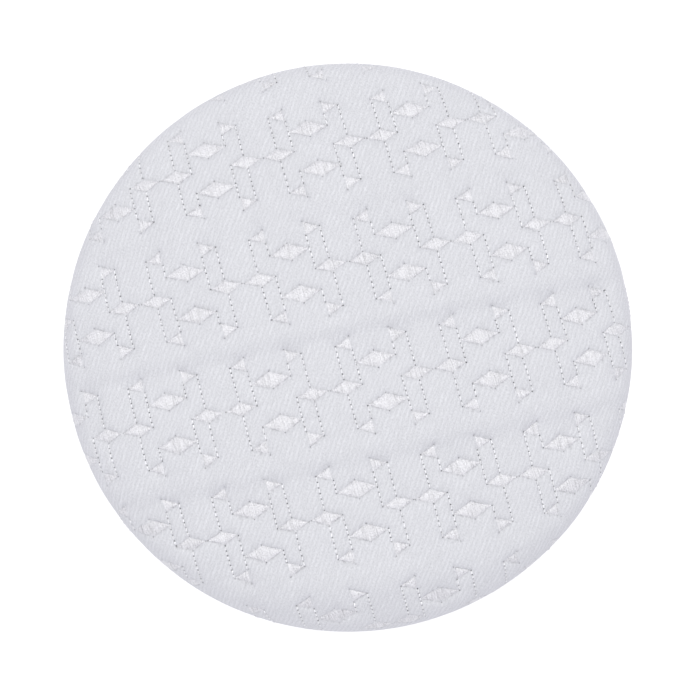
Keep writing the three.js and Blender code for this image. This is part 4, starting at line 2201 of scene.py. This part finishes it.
@dataclass(frozen=True)
class Studio:
    """Pale floor, soft light from all round and a camera that looks straight down."""

    camera_height: float = 0.70
    lens: float = 98.64
    shift: Pair = (0.00307, -0.00303)
    floor_half: float = 3.0
    floor_colour: Colour = (0.60, 0.60, 0.60)
    floor_glow: float = 0.56
    sky: Colour = (0.609, 0.605, 0.673)
    key: SoftLight = SoftLight("key_light", (0.20, 0.78, 1.40), 1.2, 5.0)
    fill: SoftLight = SoftLight("top_light", (-0.12, -0.10, 1.60), 1.6, 10.65)

    def build(self, target: Vector) -> None:
        """Makes the floor, the lights and the camera.

        Args:
            target: Middle of the cap.
        """
        self._floor()
        world = bpy.data.worlds.new("soft_sky")
        world.use_nodes = True
        world.node_tree.nodes["Background"].inputs[0].default_value = (*self.sky, 1.0)
        bpy.context.scene.world = world
        for light in (self.key, self.fill):
            light.build(target)
        lens = bpy.data.cameras.new("camera")
        lens.lens = self.lens
        lens.shift_x, lens.shift_y = self.shift
        lens.clip_start = 0.01
        camera = bpy.data.objects.new("camera", lens)
        camera.location = (0.0, 0.0, self.camera_height)
        bpy.context.scene.collection.objects.link(camera)
        bpy.context.scene.camera = camera
        bpy.context.scene.view_settings.view_transform = "Standard"

    def _floor(self) -> None:
        """Makes the plain pale floor, a lit table top."""
        material = bpy.data.materials.new("pale_floor")
        material.use_nodes = True
        shader = material.node_tree.nodes["Principled BSDF"]
        for key, value in (("Base Color", (*self.floor_colour, 1.0)), ("Roughness", 0.9),
                           ("Specular IOR Level", 0.1), ("Emission Color", (1.0, 1.0, 1.0, 1.0)),
                           ("Emission Strength", self.floor_glow)):
            shader.inputs[key].default_value = value
        mesh = bpy.data.meshes.new("floor")
        corners = [(x * self.floor_half, y * self.floor_half, 0.0)
                   for x, y in ((-1, -1), (1, -1), (1, 1), (-1, 1))]
        mesh.from_pydata(corners, [], [(0, 1, 2, 3)])
        mesh.materials.append(material)
        floor = bpy.data.objects.new("floor", mesh)
        bpy.context.scene.collection.objects.link(floor)
        floor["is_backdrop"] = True


# ---- the cap ----


@dataclass
class Kufi:
    """The whole cap, made in the order in which its parts are sewn."""

    height: float
    chart: Chart = Chart()
    row_tilt: float = math.radians(11.7)
    crown_origin: Pair = (0.1, 27.15)
    crown_rows: tuple[int, int] = (-3, 4)
    crown_pull: Pull = Pull(right=(-0.4, -0.55, -0.4), back=(0.0, 0.0, -1.6))
    crown_creases: tuple[Crease, ...] = (
        Crease(-2, 0.55, 4.0), Crease(-1, 0.85, 3.6), Crease(0, 1.75, 3.6, shift=4.6),
        Crease(1, 1.3, 3.8, shift=6.2), Crease(2, -1.3, 9.0, 6.0, shift=4.0))
    band_origin: Pair = (0.0, 18.9)
    band_rows: tuple[int, int] = (-1, 2)
    band_creases: tuple[Crease, ...] = (Crease(-1, 0.9, 5.0, 4.0),)
    band_ripple: Ripple = field(default_factory=lambda: Ripple(seed=6, shortest=16.0, longest=80.0))
    band_ripple_rise: float = 0.35

    def __post_init__(self) -> None:
        """Lays out each part with the sizes and the swell that they share."""
        sizes = CapSizes(height=self.height)
        swell = Swell(self.chart)
        crown_layout = Layout(self.chart, self.crown_origin, self.row_tilt, self.crown_rows, reach=5, seed=11,
                              pull=self.crown_pull)
        band_layout = Layout(self.chart, self.band_origin, 0.0, self.band_rows, reach=10, seed=12)
        band_quilting = Quilting(swell, ripple=self.band_ripple, ripple_rise=self.band_ripple_rise)
        self.crown = CrownCloth(sizes, crown_layout, Quilting(swell), self.crown_creases)
        self.band = BandCloth(sizes, band_layout, band_quilting, self.band_creases)
        self.hem = Hem(sizes)
        self.seam_edge = CrownSeamEdge(sizes)
        self.flaps = BackSeamFlaps()

    def build(self) -> None:
        """Builds and dresses every piece."""
        self._quilted()
        self._plain()

    def _quilted(self) -> None:
        """The crown and the side band with their embroidery."""
        twill = ClothFinish("quilted_twill_cloth").build()
        lining = ClothFinish("cotton_lining", colour=(0.70, 0.70, 0.715), rib_pitch=0.8, bump=0.05,
                             hole_darkness=0.0, clouds=0.03).build()
        satin = ThreadFinish("satin_thread").build()
        running = ThreadFinish("running_thread", colour=(0.94, 0.94, 0.965), roughness=0.6).build()
        for cloth, node in ((self.crown, "crown_panel"), (self.band, "side_band")):
            piece = cloth.build([twill, lining])
            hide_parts(node)
            part = cloth.name.split("_")[0]
            SatinStitches(cloth, f"{part}_satin").build(satin)
            RunningStitches(cloth, f"{part}_running_stitches").build(running)

    def _plain(self) -> None:
        """The hem and the seams inside."""
        twill = ClothFinish("plain_twill_cloth", rib_angle=math.radians(62.0), bump=0.12).build()
        raw = ClothFinish("raw_edge_cloth", colour=(0.71, 0.71, 0.735), rib_angle=math.radians(62.0),
                          bump=0.14).build()
        thread = ThreadFinish("seam_thread", roughness=0.6).build()
        for piece, node, slot in ((self.hem.build(twill), "turned_hem", "plain_twill"),
                                  (self.seam_edge.build(raw), "crown_seam_allowance", "raw_edge"),
                                  (self.flaps.build(raw), "back_seam_allowance", "raw_edge")):
            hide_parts(node)
        self.hem.build_topstitch(thread)
        book = MeshBook()
        for part in (self.hem, self.seam_edge, self.flaps):
            part.overlock(book, Overlock())
        book.build("overlock_stitches", [thread])


def main() -> None:
    """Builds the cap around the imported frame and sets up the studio."""
    logging.basicConfig(level=logging.INFO, format="%(name)s: %(message)s")
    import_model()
    cad_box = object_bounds()
    low, high = cad_box
    kufi = Kufi(height=high[2] / MM)
    kufi.build()
    centre = (Vector(low) + Vector(high)) / 2.0
    Studio().build(centre)


if __name__ == "__main__":
    main()
